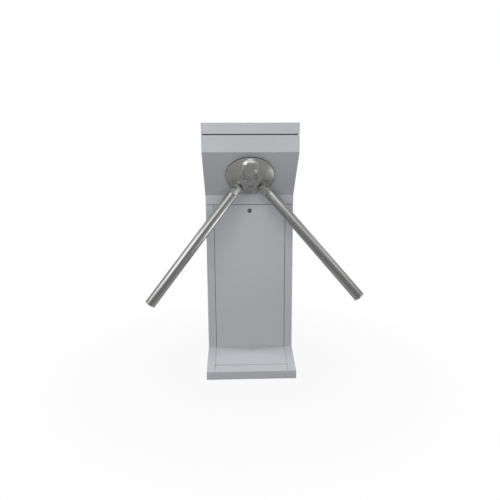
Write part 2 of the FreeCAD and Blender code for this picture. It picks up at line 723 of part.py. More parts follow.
def fork_outline():
    """Outline a fork's lug from the nose out to the hinge pin, in the plane of an arm."""
    return [
        ("fork_slot_start - lug_radius", "hub_seat"),
        ("pin_place + lug_radius", "hub_seat"),
        ("pin_place + lug_radius", "pin_height"),
        ("pin_place", "pin_height"),
        ("pin_place - lug_radius * sin(30)", "pin_height + lug_radius * cos(30)"),
        ("fork_slot_start - lug_radius / 4", "nose_height"),
        ("fork_slot_start - lug_radius", "nose_height"),
    ]


def make_rotor(rotor):
    """Rotor head: hub with three forks, screws, hinge pins, plate and dome."""
    boss = turned([
        ("0", "hub_seat"),
        ("nose_radius", "hub_seat"),
        ("nose_radius", "nose_height - nose_bevel"),
        ("nose_radius - nose_bevel", "nose_height"),
        ("0", "nose_height"),
    ])
    lugs = []
    tools = []
    pins = []
    screws = []
    notches = []
    seats = []
    for index in range(BLADES):
        step = spun(360 / BLADES * index)
        between = spun(360 / BLADES * (index + 0.5))
        web = prism("YZ_Plane", fork_outline(), "-fork_width / 2", "fork_width")
        lugs.append(moved(fuse(web, pin_rod("lug_radius")), step))
        slot_end = "pin_place + 2 * lug_radius"
        slot_low = ("-fork_slot / 2", "fork_slot_start", "fork_slot_floor")
        slot = box(slot_low, ("fork_slot / 2", slot_end, "pin_height + 2 * lug_radius"))
        tools.append(moved(fuse(slot, pin_rod("pin_radius + running_gap / 2")), step))
        pins.append(moved(pin_rod("pin_radius"), step))
        tools.append(moved(screw_hole(), between))
        screws.append(moved(hub_screw(), between))
        notch_half = "fork_width / 2 + dome_slot_gap"
        notch_end = "pin_place + lug_radius + dome_slot_gap"
        notch = box((f"-({notch_half})", "0", "0"), (notch_half, notch_end, "nose_height + dome_rise"))
        notches.append(moved(notch, step))
        seat = rod("dome_boss_radius", "dome_rise", y="dome_boss_place", z="hub_seat")
        seats.append(moved(seat, between))
    keep("rotor_hub", cut(fuse(boss, *lugs), *tools), rotor)
    keep("arm_pins", group(pins), rotor)
    keep("hub_screws", group(screws), rotor)
    plate = rod("rotor_plate_radius", "rotor_plate_thickness", z="rotor_plate_gap")
    keep("rotor_plate", cut(plate, *screw_holes()), rotor)
    cap_tall = "2 * dome_rise"
    cap = common(ball("dome_sphere", z="dome_centre"), rod("dome_radius", cap_tall, z="dome_edge"))
    outside = fuse(cap, rod("dome_radius", "dome_edge_height", z="dome_low"))
    inner_radius = "dome_radius - dome_thickness"
    inner_ball = ball("dome_sphere - dome_thickness", z="dome_centre")
    hollow = common(inner_ball, rod(inner_radius, cap_tall, z="dome_edge - dome_rise"))
    centre = rod("nose_radius + dome_slot_gap", "nose_height + dome_rise")
    keep("rotor_dome", cut(outside, cut(hollow, *seats), centre, *notches), rotor)


def pin_rod(radius):
    """Make a rod on an arm's hinge axis, as long as the fork is wide."""
    return rod(radius, "fork_width", "-fork_width / 2", "pin_place", "pin_height", ACROSS)


def screw_hole():
    """Hole of a hub screw with its recess, through hub, plate and flange."""
    length = "nose_height - flange_back"
    shank = rod("screw_radius + running_gap", length, y="screw_circle", z="flange_back")
    seat = "nose_height - counterbore_depth"
    recess = rod("counterbore_radius", "counterbore_depth", y="screw_circle", z=seat)
    return fuse(shank, recess)


def screw_holes():
    """Holes of all hub screws, one between each two forks."""
    return [moved(screw_hole(), spun(360 / BLADES * (index + 0.5))) for index in range(BLADES)]


def hub_screw():
    """Socket head screw that clamps hub and plate to the shaft flange."""
    seat = "nose_height - counterbore_depth"
    shank = rod("screw_radius", f"{seat} - flange_back", y="screw_circle", z="flange_back")
    head = rod("screw_head_radius", "screw_head_height", y="screw_circle", z=seat)
    socket_low = f"{seat} + screw_head_height - screw_socket_depth"
    socket = hexagon("screw_socket", "screw_socket_depth", y="screw_circle", z=socket_low)
    return cut(fuse(shank, head), socket)


def make_shaft(rotor):
    """Main shaft with its flange, the nut that holds the stack, and the encoder disc."""
    shaft = turned([
        ("0", "rotor_plate_gap"),
        ("nose_radius", "rotor_plate_gap"),
        ("nose_radius", "flange_back"),
        ("shaft_collar_radius", "flange_back"),
        ("shaft_collar_radius", "bearing_front"),
        ("shaft_radius", "bearing_front"),
        ("shaft_radius", "nut_back"),
        ("stub_radius", "nut_back"),
        ("stub_radius", "shaft_end"),
        ("0", "shaft_end"),
    ])
    keep("main_shaft", cut(shaft, *screw_holes()), rotor)
    bore = "shaft_radius + running_gap / 2"
    sleeve_rear = "bearing_rear + bearing_width"
    sleeve = ring(bore, "spacer_radius", sleeve_rear, "bearing_front - bearing_width")
    keep("shaft_spacers", group([sleeve, ring(bore, "spacer_radius", "gear_front", "bearing_rear")]), rotor)
    nut = hexagon("shaft_nut_radius", "shaft_nut_height", z="nut_back")
    keep("shaft_nut", cut(nut, rod(bore, "shaft_nut_height", z="nut_back")), rotor)
    stub = "stub_radius + running_gap / 2"
    disc_front = "encoder_back + encoder_thickness"
    disc = ring(stub, "encoder_radius", "encoder_back", disc_front)
    keep("encoder_disc", fuse(disc, ring(stub, "shaft_radius", disc_front, "nut_back")), rotor)


def bearing_set(low):
    """Rings of one deep-groove ball bearing that starts at a height, and its balls and cage."""
    high = f"{low} + bearing_width"
    middle = f"{low} + bearing_width / 2"
    inner = ring("shaft_radius + running_gap / 2", "shaft_radius + bearing_race", low, high)
    outer = ring("bearing_outer - bearing_race", "bearing_outer - running_gap / 2", low, high)
    count = int(math.pi * value("ball_circle / (ball_radius + bearing_race / 2)"))
    balls = []
    pockets = []
    for index in range(count):
        step = spun(360 / count * index)
        balls.append(moved(ball("ball_radius", y="ball_circle", z=middle), step))
        pockets.append(moved(ball("ball_radius + running_gap", y="ball_circle", z=middle), step))
    half = "ball_radius + cage_rim"
    cage = ring(
        "ball_circle - cage_thickness / 2",
        "ball_circle + cage_thickness / 2",
        f"{middle} - ({half})",
        f"{middle} + {half}",
    )
    return cut(inner, groove(middle)), cut(outer, groove(middle)), [cut(cage, *pockets)] + balls


def groove(middle):
    """Ball groove of a bearing as a torus about the axis."""
    torus = doc.addObject("Part::Torus", "groove")
    bind(torus, Radius1="ball_circle", Radius2="ball_radius + ball_gap")
    return at(torus, z=middle)


def make_bearings(hub, rotor):
    """Housing bolted to the mechanism plate, with a bearing at each end."""
    lows = ("bearing_front - bearing_width", "bearing_rear")
    sets = [bearing_set(low) for low in lows]
    keep("bearing_inner_rings", group(item[0] for item in sets), rotor)
    keep("bearing_outer_rings", group(item[1] for item in sets), hub)
    keep("bearing_balls", group(sets[0][2] + sets[1][2]), hub)
    flange_rear = "plate_back - housing_flange_thickness"
    body = turned([
        ("bearing_outer", "housing_front"),
        ("slope_hole / 2 - assembly_gap", "housing_front"),
        ("slope_hole / 2 - assembly_gap", "plate_back"),
        ("housing_flange_radius", "plate_back"),
        ("housing_flange_radius", flange_rear),
        ("housing_radius", flange_rear),
        ("housing_radius", "housing_rear"),
        ("bearing_outer", "housing_rear"),
        ("bearing_outer", "bearing_rear + bearing_width"),
        ("housing_shoulder", "bearing_rear + bearing_width"),
        ("housing_shoulder", "bearing_front - bearing_width"),
        ("bearing_outer", "bearing_front - bearing_width"),
    ])
    holes = []
    screws = []
    for x, y in screw_places():
        holes.append(rod("screw_radius + running_gap", "housing_flange_thickness", x, y, flange_rear))
        shank = rod("screw_radius", f"plate_front - ({flange_rear})", x, y, flange_rear)
        head = rod("screw_head_radius", "screw_head_height", x, y, f"{flange_rear} - screw_head_height")
        socket = hexagon("screw_socket", "screw_socket_depth", x, y, f"{flange_rear} - screw_head_height")
        screws.append(cut(fuse(shank, head), socket))
    keep("bearing_housing", cut(body, *holes), hub)
    keep("housing_screws", group(screws), hub)


def screw_places():
    """Places of the four housing screws in the hub frame, on the diagonals."""
    reach = "housing_screw_circle * sqrt(0.5)"
    return [(f"{a} * {reach}", f"{b} * {reach}") for a in (-1, 1) for b in (-1, 1)]


def stud_places():
    """Places of the four weld studs in the hub frame."""
    return [(f"{a} * stud_across", f"{b} * stud_along") for a in (-1, 1) for b in (-1, 1)]


def pillar_places():
    """Places of the four carrier pillars in the hub frame."""
    return [(f"{a} * pillar_across", b) for a in (-1, 1) for b in ("pillar_up", "-pillar_down")]


def nuts(places, high):
    """Hexagon nuts under a face at a height, one per place."""
    low = f"{high} - nut_height"
    made = []
    for x, y in places:
        block = hexagon("nut_corner", "nut_height", x, y, low)
        made.append(cut(block, rod("screw_radius + running_gap / 2", "nut_height", x, y, low)))
    return made


def make_plates(hub):
    """Mechanism plate on the sloped face and the carrier plate behind it, on four pillars."""
    plate_half = "half_width - sheet - assembly_gap"
    low = (f"-({plate_half})", "-mechanism_plate_down", "plate_back")
    plate = box(low, (plate_half, "mechanism_plate_up", "plate_front"))
    depth = "mechanism_plate_thickness"
    holes = [rod("slope_hole / 2", depth, z="plate_back")]
    for x, y in stud_places() + screw_places():
        holes.append(rod("screw_radius + running_gap", depth, x, y, "plate_back"))
    keep("mechanism_plate", cut(plate, *holes), hub)
    low = ("-carrier_half_width", "-carrier_down", "carrier_back")
    carrier = box(low, ("carrier_half_width", "carrier_up", "housing_rear"))
    openings = [
        rod("carrier_hole", "carrier_thickness", z="carrier_back"),
        rod("motor_shaft_radius + 1", "carrier_thickness", y="-gear_centres", z="carrier_back"),
    ]
    for x, y in pillar_places():
        openings.append(rod("screw_radius + running_gap", "carrier_thickness", x, y, "carrier_back"))
    for _, side in SIDES:
        x = f"{side} * pawl_pin_across"
        openings.append(rod("pawl_pin_radius", "carrier_thickness", x, "pawl_pin_up", "carrier_back"))
    keep("carrier_plate", cut(carrier, *openings), hub)
    pillars = []
    for x, y in pillar_places():
        column = rod("pillar_radius", "plate_back - housing_rear", x, y, "housing_rear")
        end_low = "carrier_back - nut_height"
        end = rod("screw_radius", f"housing_rear - ({end_low})", x, y, end_low)
        pillars.append(fuse(column, end))
    keep("carrier_pillars", group(pillars), hub)
    every_nut = nuts(stud_places(), "plate_back") + nuts(pillar_places(), "carrier_back")
    keep("plate_nuts", group(every_nut), hub)


def gear_face(teeth):
    """Face of an involute gear about Z with a tooth on the Y axis, from its generating formula."""
    module = value("gear_module")
    pitch = module * teeth / 2
    pressure = math.radians(20)
    base = pitch * math.cos(pressure)
    tip = pitch + 0.85 * module
    root = pitch - 1.15 * module
    flank_start = max(base, root)
    half_tooth = math.pi / (2 * teeth) - value("gear_backlash") / (4 * pitch)
    flank = []
    steps = 4
    for index in range(steps):
        radius = flank_start + (tip - flank_start) * index / (steps - 1)
        roll = math.acos(min(1, base / radius))
        spread = (math.tan(pressure) - pressure) - (math.tan(roll) - roll)
        flank.append((radius, half_tooth + spread))
    profile = [(root, -flank[0][1])] + [(radius, -angle) for radius, angle in flank]
    profile += [(radius, angle) for radius, angle in reversed(flank)] + [(root, flank[0][1])]
    corners = []
    for tooth in range(teeth):
        for radius, angle in profile:
            turn = 2 * math.pi * tooth / teeth + angle
            corners.append(FreeCAD.Vector(radius * math.sin(turn), radius * math.cos(turn), 0))
    return Part.Face(Part.makePolygon(corners + corners[:1]))


def gear(teeth, bore):
    """Gear wheel between the gear faces, with a round bore."""
    feature = doc.addObject("Part::Feature", "gear")
    feature.Shape = gear_face(teeth).extrude(FreeCAD.Vector(0, 0, value("gear_width")))
    feature.Placement = FreeCAD.Placement(FreeCAD.Vector(0, 0, value("gear_back")), FreeCAD.Rotation())
    return cut(feature, rod(bore, "gear_width", z="gear_back"))


def make_drive(hub, rotor):
    """Main gear on the shaft, meshing with the pinion of the centring motor."""
    bore = "shaft_radius + running_gap / 2"
    teeth = int(value("gear_teeth"))
    small = int(value("pinion_teeth"))
    gear_hub = ring(bore, "gear_hub_radius", "wheel_front", "gear_back")
    keep("main_gear", fuse(gear(teeth, bore), gear_hub), rotor)
    seat = FreeCAD.Placement(FreeCAD.Vector(0, -value("gear_centres"), 0), FreeCAD.Rotation())
    drive = hub.multiply(seat)
    tooth_phase = 180 / small if teeth % 2 == 0 else 0
    mesh = drive.multiply(spun(tooth_phase - value("rotor_turn") * teeth / small))
    keep("motor_pinion", gear(small, "motor_shaft_radius"), mesh)
    shaft_high = "housing_rear + motor_shaft_seat"
    keep("motor_shaft", rod("motor_shaft_radius", f"{shaft_high} - gear_back", z="gear_back"), drive)
    gearbox_end = "housing_rear + motor_gearbox_length"
    motor = turned([
        ("0", "housing_rear + motor_length"),
        ("0", f"{shaft_high} + motor_shaft_radius"),
        ("motor_shaft_radius + running_gap", f"{shaft_high} + motor_shaft_radius"),
        ("motor_shaft_radius + running_gap", "housing_rear"),
        ("motor_radius", "housing_rear"),
        ("motor_radius", gearbox_end),
        ("motor_can_radius", gearbox_end),
        ("motor_can_radius", "housing_rear + motor_length"),
    ])
    keep("centring_motor", motor, drive)


def make_lock_wheel(rotor):
    """Notched wheel that the pawls hold."""
    wheel = ring("shaft_radius + running_gap / 2", "wheel_radius", "wheel_back", "wheel_front")
    notches = []
    count = int(value("notch_count"))
    for index in range(count):
        low = ("wheel_radius - notch_depth", "-notch_width / 2", "wheel_back")
        notch = box(low, ("wheel_radius + notch_depth", "notch_width / 2", "wheel_front"))
        notches.append(moved(notch, spun(360 / count * index - value("rotor_turn"))))
    keep("lock_wheel", cut(wheel, *notches), rotor)


def make_pawl(name, side, hub):
    """Pawl and the plunger that pushes it into the lock wheel; gives back its pin and solenoid."""
    thick = "wheel_thickness - 2 * pawl_side_gap"
    low = "wheel_back + pawl_side_gap"
    nose_half = "pawl_nose_width / 2"
    points = [
        ("pawl_pin_across", "pawl_pin_up + pawl_boss_radius"),
        ("pawl_pin_across + pawl_boss_radius", "pawl_pin_up"),
        ("pawl_back_across", "pawl_pin_up / 3"),
        ("pawl_back_across", f"-{nose_half}"),
        ("pawl_nose_across", f"-{nose_half}"),
        ("pawl_nose_across", nose_half),
        ("pawl_back_across - pawl_arm_width", nose_half),
        ("pawl_back_across - pawl_arm_width", "pawl_pin_up / 3"),
        ("pawl_pin_across", "pawl_pin_up - pawl_boss_radius"),
    ]
    lever = prism("XY_Plane", [(f"{side} * ({x})", y) for x, y in points], low, thick)
    x = f"{side} * pawl_pin_across"
    boss = rod("pawl_boss_radius", thick, x, "pawl_pin_up", low)
    eye = rod("pawl_pin_radius + running_gap", "wheel_thickness", x, "pawl_pin_up", "wheel_back")
    keep(f"{name}_pawl", cut(fuse(lever, boss), eye), hub)
    pin_low = "wheel_back - pawl_pin_radius"
    pin = rod("pawl_pin_radius", f"housing_rear - ({pin_low})", x, "pawl_pin_up", pin_low)
    collar = rod("pawl_boss_radius", "carrier_back - wheel_front", x, "pawl_pin_up", "wheel_front")
    far = "solenoid_start + solenoid_length"
    ends = {-1: (f"-({far})", "-solenoid_start"), 1: ("solenoid_start", far)}[side]
    reach = "carrier_back - wheel_middle"
    coil = box(
        (ends[0], "-solenoid_width / 2", f"wheel_middle - ({reach})"),
        (ends[1], "solenoid_width / 2", "carrier_back"),
    )
    tip = "pawl_back_across + plunger_gap"
    seat = "solenoid_start + plunger_seat"
    starts = {-1: (f"-({seat})", f"-({seat})"), 1: ("solenoid_start", tip)}[side]
    bore = rod("plunger_radius + running_gap", "plunger_seat", starts[0], "0", "wheel_middle", ACROSS)
    plunger = rod("plunger_radius", f"{seat} - ({tip})", starts[1], "0", "wheel_middle", ACROSS)
    keep(f"{name}_plunger", plunger, hub)
    return fuse(pin, collar), cut(coil, bore)


def make_sensor(hub):
    """Slotted sensor that straddles the encoder disc, on a post from the carrier plate."""
    frame = hub.multiply(spun(value("sensor_bearing")))
    half = "sensor_width / 2"
    jaw = "sensor_gap + sensor_wall"
    low = f"encoder_back - ({jaw})"
    high = f"encoder_back + encoder_thickness + {jaw}"
    block = box(
        (f"-{half}", "encoder_radius - sensor_reach", low),
        (half, "encoder_radius + sensor_reach", high),
    )
    slot = box(
        (f"-{half}", "encoder_radius - sensor_reach", "encoder_back - sensor_gap"),
        (half, "encoder_radius + sensor_gap", "encoder_back + encoder_thickness + sensor_gap"),
    )
    keep("encoder_sensor", cut(block, slot), frame)
    beam_low = f"{low} - sensor_wall"
    post_half = "sensor_post_width / 2"
    post = box(
        (f"-{post_half}", f"sensor_post_place - {post_half}", beam_low),
        (post_half, f"sensor_post_place + {post_half}", "carrier_back"),
    )
    beam = box(
        (f"-{post_half}", "encoder_radius", beam_low),
        (post_half, f"sensor_post_place + {post_half}", low),
    )
    keep("sensor_bracket", fuse(post, beam), frame)


def make_electronics():
    """Panel on the back wall with the control board, its terminals and the power supply."""
    low = ("-panel_half_width", "panel_front", "panel_low")
    keep("electronics_panel", box(low, ("panel_half_width", "panel_back", "panel_high")))
    spacers = []
    for x in ("-panel_half_width + panel_spacer_inset", "panel_half_width - panel_spacer_inset"):
        for z in ("panel_low + panel_spacer_inset", "panel_high - panel_spacer_inset"):
            spacers.append(rod("panel_spacer_radius", "spacer_length", x, "panel_back", z, REARWARD))
    board_front = "board_back - board_thickness"
    low = ("-board_width / 2", board_front, "board_low")
    keep("control_board", box(low, ("board_width / 2", "board_back", "board_low + board_height")))
    for x in ("-board_width / 2 + standoff_inset", "board_width / 2 - standoff_inset"):
        for z in ("board_low + standoff_inset", "board_low + board_height - standoff_inset"):
            spacers.append(rod("standoff_radius", "standoff_length", x, "board_back", z, REARWARD))
    keep("board_spacers", group(spacers))
    terminals = []
    count = int(value("terminal_count"))
    for index in range(count):
        left = f"terminal_pitch * ({index} - {count - 1} / 2) - terminal_width / 2"
        bottom = "board_low + 2 * standoff_inset"
        corner = (f"{left} + terminal_width", board_front, f"{bottom} + terminal_height")
        terminals.append(box((left, f"{board_front} - terminal_depth", bottom), corner))
    keep("terminal_blocks", group(terminals))
    low = ("-supply_width / 2", "panel_front - supply_depth", "supply_low")
    keep("power_supply", box(low, ("supply_width / 2", "panel_front", "supply_low + supply_height")))


def check_and_write():
    """Stop on a failed object or a bad shape, then write one file per part."""
    doc.recompute()
    for item in doc.Objects:
        if {"Invalid", "Error"} & set(item.State):
            raise RuntimeError(f"{item.Name} ({item.Label}) failed: {item.State}")
    for part in PARTS:
        shape = part.Shape
        if shape.isNull() or not shape.isValid() or not shape.Solids:
            raise RuntimeError(f"{part.Label} has no valid solid")
    os.makedirs("parts", exist_ok=True)
    for part in PARTS:
        part.Shape.exportStep(f"parts/{part.Label}.step")
        print(part.Label, len(part.Shape.Solids), round(part.Shape.Volume / 1000, 2), "cm3")


def main():
    """Build every part and write it out."""
    fill_sheet()
    centre = FreeCAD.Vector(0, value("hub_depth"), value("hub_height"))
    hub = FreeCAD.Placement(centre, FreeCAD.Rotation(FreeCAD.Vector(1, 0, 0), 90 + value("hub_slope")))
    rotor = hub.multiply(spun(value("rotor_turn")))
    make_base()
    for name, side in SIDES:
        make_cheek(name, side)
    make_column()
    make_joint_frame()
    make_head(hub)
    make_cover_lock()
    make_rotor(rotor)
    for name, step in ARMS:
        make_arm(name, 360 / BLADES * step, rotor)
    make_shaft(rotor)
    make_bearings(hub, rotor)
    make_plates(hub)
    make_drive(hub, rotor)
    make_lock_wheel(rotor)
    pins, solenoids = zip(*(make_pawl(name, side, hub) for name, side in SIDES))
    keep("pawl_pins", group(pins), hub)
    keep("lock_solenoids", group(solenoids), hub)
    make_sensor(hub)
    make_electronics()
    check_and_write()


main()
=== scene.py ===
"""Looks of a tripod turnstile: skins, finishes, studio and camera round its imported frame.

Metres, in the frame of the CAD part: +Z up, the cabinet's front faces -Y, and the origin is on the
floor between the anchors. Skins of turned and domed pieces are worked out as arrays on a grid, and
folded sheet pieces take the CAD outline with its edges softened to a bend or a broken edge.
"""

from __future__ import annotations

import json
import logging
import math
from dataclasses import dataclass
from enum import Enum

import bmesh
import bpy
import numpy as np
from mathutils import Matrix, Vector

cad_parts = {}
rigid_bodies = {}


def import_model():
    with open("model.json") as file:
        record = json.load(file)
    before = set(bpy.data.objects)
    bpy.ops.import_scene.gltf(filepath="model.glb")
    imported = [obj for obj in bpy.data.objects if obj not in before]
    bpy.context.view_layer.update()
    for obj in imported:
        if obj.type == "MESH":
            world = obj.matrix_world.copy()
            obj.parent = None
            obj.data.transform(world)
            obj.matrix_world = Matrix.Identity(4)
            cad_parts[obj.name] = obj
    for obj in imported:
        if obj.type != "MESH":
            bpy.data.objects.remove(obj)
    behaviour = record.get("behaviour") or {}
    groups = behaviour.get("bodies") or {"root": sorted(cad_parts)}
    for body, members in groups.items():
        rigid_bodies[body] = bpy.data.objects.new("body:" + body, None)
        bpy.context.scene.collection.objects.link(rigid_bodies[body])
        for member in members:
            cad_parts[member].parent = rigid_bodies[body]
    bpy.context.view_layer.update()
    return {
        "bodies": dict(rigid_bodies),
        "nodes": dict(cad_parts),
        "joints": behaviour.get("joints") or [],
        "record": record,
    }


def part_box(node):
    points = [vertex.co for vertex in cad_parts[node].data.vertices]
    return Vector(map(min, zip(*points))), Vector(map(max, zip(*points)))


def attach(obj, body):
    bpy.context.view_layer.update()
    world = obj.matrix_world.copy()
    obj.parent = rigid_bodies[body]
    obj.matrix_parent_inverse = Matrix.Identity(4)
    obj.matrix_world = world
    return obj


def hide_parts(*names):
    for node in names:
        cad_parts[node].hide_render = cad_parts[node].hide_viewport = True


LOG = logging.getLogger("turnstile")
Array = np.ndarray
Colour = tuple[float, float, float]
Triple = tuple[float, float, float]

# Points nearer than these are one: on worked-out surfaces, and on CAD meshes.
POINT_GAP = 1e-7
CAD_POINT_GAP = 1e-6
# Keeps a divisor off zero.
TINY = 1e-6
# CAD faces that meet at less than the first angle are one flat face. An edge above the second one
# is sharp, and takes a bend.
FLAT_ANGLE = math.radians(0.6)
CREASE = math.radians(35.0)
WHITE = (1.0, 1.0, 1.0, 1.0)


class Grain(Enum):
    """How the surface of a finish is broken up."""

    PEEL = "orange peel of a powder coat"
    BRUSHED = "fine lines along one direction"
    SPANGLE = "crystals of a zinc coat"
    CAST = "coarse skin of a casting"


class Coordinates(Enum):
    """What a finish's pattern is laid out on."""

    OBJECT = "Object"
    UV = "UV"


# Octaves of the noise of a mottle and of each grain, what a mottle and a grain add up to at their
# darkest and lightest, and the glossiest that a finish gets.
CLOUD_DETAIL = 4.0
GRAIN_DETAIL = {Grain.PEEL: 3.0, Grain.BRUSHED: 3.0, Grain.CAST: 6.0}
PATTERN_LOW, PATTERN_HIGH = 0.6, 1.4
LEAST_ROUGHNESS = 0.02


class Shader:
    """Adds nodes to a node tree and links or sets their sockets."""

    def __init__(self, tree: bpy.types.NodeTree) -> None:
        """Start from an empty tree.

        Args:
            tree: The node tree of a material or world.
        """
        self.tree = tree
        tree.nodes.clear()

    def feed(self, socket: bpy.types.NodeSocket, value: object) -> None:
        """Link an input socket to an output socket, or set it to a plain value.

        Args:
            socket: The input socket.
            value: The output socket that feeds it, or its value.
        """
        if isinstance(value, bpy.types.NodeSocket):
            self.tree.links.new(value, socket)
        else:
            socket.default_value = value

    def add(
        self, kind: str, sockets: dict[str | int, object] | None = None, **settings: object
    ) -> bpy.types.Node:
        """Add one node.

        Args:
            kind: Type name of the node.
            sockets: Input name or index to a value, or to the output socket that feeds it.
            settings: Plain attributes of the node.

        Returns:
            The new node.
        """
        node = self.tree.nodes.new(kind)
        for key, setting in settings.items():
            setattr(node, key, setting)
        for key, value in (sockets or {}).items():
            self.feed(node.inputs[key], value)
        return node

    def blend(self, share: bpy.types.NodeSocket, low: object, high: object) -> bpy.types.NodeSocket:
        """Mix two colours.

        Args:
            share: Socket with the share of the second colour.
            low: The first colour.
            high: The second colour.

        Returns:
            Socket with the mixed colour.
        """
        mix = self.add("ShaderNodeMix", data_type="RGBA")
        inputs = {socket.name: socket for socket in mix.inputs if socket.enabled}
        for key, value in {"Factor": share, "A": low, "B": high}.items():
            self.feed(inputs[key], value)
        return next(socket for socket in mix.outputs if socket.type == "RGBA")


@dataclass(frozen=True)
class Finish:
    """A surface finish: colour with a soft mottle, gloss that varies, and a fine relief."""

    name: str
    slot: str
    colour: Colour
    roughness: float
    metallic: float = 0.0
    mottle: float = 0.05
    mottle_size: float = 0.08
    gloss_spread: float = 0.06
    grain: Grain = Grain.PEEL
    grain_size: float = 0.0015
    stretch: Triple = (1.0, 1.0, 1.0)
    relief: float = 0.00002
    coordinates: Coordinates = Coordinates.OBJECT

    def shade(self, factor: float) -> tuple[float, float, float, float]:
        """Give the colour, lighter or darker by a factor, with full alpha."""
        return (*(channel * factor for channel in self.colour), 1.0)

    def pattern(self, shader: Shader, place: bpy.types.NodeSocket) -> bpy.types.NodeSocket:
        """Add the texture that carries the grain.

        Args:
            shader: Node builder of the material.
            place: Socket with the pattern's coordinates.

        Returns:
            Socket with the grain's height, from 0 to 1.
        """
        scale = tuple(1.0 / (self.grain_size * longer) for longer in self.stretch)
        laid = shader.add("ShaderNodeMapping", {"Vector": place, "Scale": scale})
        texture = {"Vector": laid.outputs[0], "Scale": 1.0}
        if self.grain is Grain.SPANGLE:
            return shader.add("ShaderNodeTexVoronoi", texture).outputs["Color"]
        texture["Detail"] = GRAIN_DETAIL[self.grain]
        return shader.add("ShaderNodeTexNoise", texture).outputs["Fac"]

    def material(self) -> bpy.types.Material:
        """Build the finish once, and give the same material back after that.

        Returns:
            The material with its node tree.
        """
        known = bpy.data.materials.get(self.name)
        if known:
            return known
        made = bpy.data.materials.new(self.name)
        made.use_nodes = True
        shader = Shader(made.node_tree)
        place = shader.add("ShaderNodeTexCoord").outputs[self.coordinates.value]
        mottle = {"Vector": place, "Scale": 1.0 / self.mottle_size, "Detail": CLOUD_DETAIL}
        cloud = shader.add("ShaderNodeTexNoise", mottle).outputs["Fac"]
        grain = self.pattern(shader, place)
        both = shader.add("ShaderNodeMath", {0: cloud, 1: grain}, operation="ADD").outputs[0]
        spread = {"Value": both, "From Min": PATTERN_LOW, "From Max": PATTERN_HIGH}
        tone = shader.add("ShaderNodeMapRange", spread).outputs[0]
        low = max(self.roughness - self.gloss_spread, LEAST_ROUGHNESS)
        high = self.roughness + self.gloss_spread
        gloss = shader.add("ShaderNodeMapRange", {**spread, "To Min": low, "To Max": high})
        relief = {"Height": grain, "Distance": self.relief, "Strength": 1.0}
        dark, light = self.shade(1.0 - self.mottle), self.shade(1.0 + self.mottle)
        surface = shader.add("ShaderNodeBsdfPrincipled", {
            "Base Color": shader.blend(tone, dark, light),
            "Roughness": gloss.outputs[0],
            "Metallic": self.metallic,
            "Normal": shader.add("ShaderNodeBump", relief).outputs[0],
        })
        shader.add("ShaderNodeOutputMaterial", {"Surface": surface.outputs[0]})
        return made


PAINT = Finish(
    "grey_powder_coat", "cabinet_paint", (0.40, 0.41, 0.43), 0.42, mottle=0.02, relief=0.00003,
)
ARM_STEEL = Finish(
    "brushed_arm_steel", "arm_steel", (0.49, 0.49, 0.485), 0.25, metallic=1.0,
    mottle=0.02, mottle_size=0.12, gloss_spread=0.01, grain=Grain.BRUSHED, grain_size=0.0006,
    stretch=(1.0, 400.0, 1.0), relief=0.0000001, coordinates=Coordinates.UV,
)
CAP_STEEL = Finish(
    "polished_cap_steel", "arm_steel", (0.72, 0.72, 0.71), 0.17, metallic=1.0,
    mottle=0.04, mottle_size=0.02, gloss_spread=0.03, grain=Grain.CAST, grain_size=0.0009,
    relief=0.000001,
)
DOME_STEEL = Finish(
    "satin_dome_steel", "hub_steel", (0.335, 0.333, 0.325), 0.26, metallic=0.40,
    mottle=0.05, mottle_size=0.03, gloss_spread=0.03, grain=Grain.CAST, grain_size=0.0009,
    relief=0.000001,
)
HUB_STEEL = Finish(
    "satin_hub_steel", "hub_steel", (0.33, 0.33, 0.32), 0.22, metallic=0.7,
    mottle=0.06, mottle_size=0.02, gloss_spread=0.04, grain=Grain.CAST, grain_size=0.0009,
    relief=0.000002,
)
TANG_STEEL = Finish(
    "milled_tang_steel", "hub_steel", (0.52, 0.52, 0.50), 0.30, metallic=0.8,
    mottle=0.05, mottle_size=0.02, grain=Grain.BRUSHED, grain_size=0.0005,
    stretch=(1.0, 1.0, 20.0), relief=0.000008,
)
# Near-black steel of the rotor plate, painted shade for the gap under the dome's rim.
PLATE_GAP_SHADE = Finish(
    "painted_gap_shade_plate", "hub_steel", (0.020, 0.020, 0.021), 0.55, metallic=0.6,
    mottle=0.12, mottle_size=0.02, grain=Grain.CAST, grain_size=0.0010, relief=0.000010,
)
SCREW_STEEL = Finish(
    "plain_screw_steel", "screw_steel", (0.46, 0.46, 0.45), 0.30, metallic=1.0,
    mottle=0.08, mottle_size=0.01, grain=Grain.CAST, grain_size=0.0006, relief=0.000008,
)
LOCK_CHROME = Finish(
    "dark_lock_chrome", "lock_chrome", (0.48, 0.48, 0.49), 0.25, metallic=1.0,
    mottle=0.05, mottle_size=0.008, grain=Grain.BRUSHED, grain_size=0.0004,
    stretch=(8.0, 1.0, 1.0), relief=0.000004,
)
# Black rubber of the lid's seal; the same black on the groove and seam strips is painted shade.
SEAL_RUBBER_AND_GAP_SHADE = Finish(
    "black_seal_rubber_and_painted_gap_shade", "seal_rubber", (0.022, 0.022, 0.023), 0.75,
    mottle=0.15, mottle_size=0.02, grain=Grain.CAST, grain_size=0.0010, relief=0.00008,
)
ZINC = Finish(
    "zinc_plate", "zinc_steel", (0.46, 0.47, 0.47), 0.38, metallic=1.0,
    mottle=0.14, mottle_size=0.05, grain=Grain.SPANGLE, grain_size=0.012, relief=0.000004,
)
MACHINED = Finish(
    "machined_steel", "machined_steel", (0.40, 0.40, 0.41), 0.28, metallic=1.0,
    mottle=0.06, mottle_size=0.02, grain=Grain.BRUSHED, grain_size=0.0004,
    stretch=(30.0, 1.0, 1.0), relief=0.000006,
)
IRON = Finish(
    "painted_casting", "housing_iron", (0.12, 0.13, 0.14), 0.55,
    mottle=0.12, mottle_size=0.02, grain=Grain.CAST, grain_size=0.0016, relief=0.00012,
)
ENAMEL = Finish(
    "black_enamel", "motor_black", (0.03, 0.03, 0.033), 0.35,
    mottle=0.10, mottle_size=0.02, relief=0.00003,
)
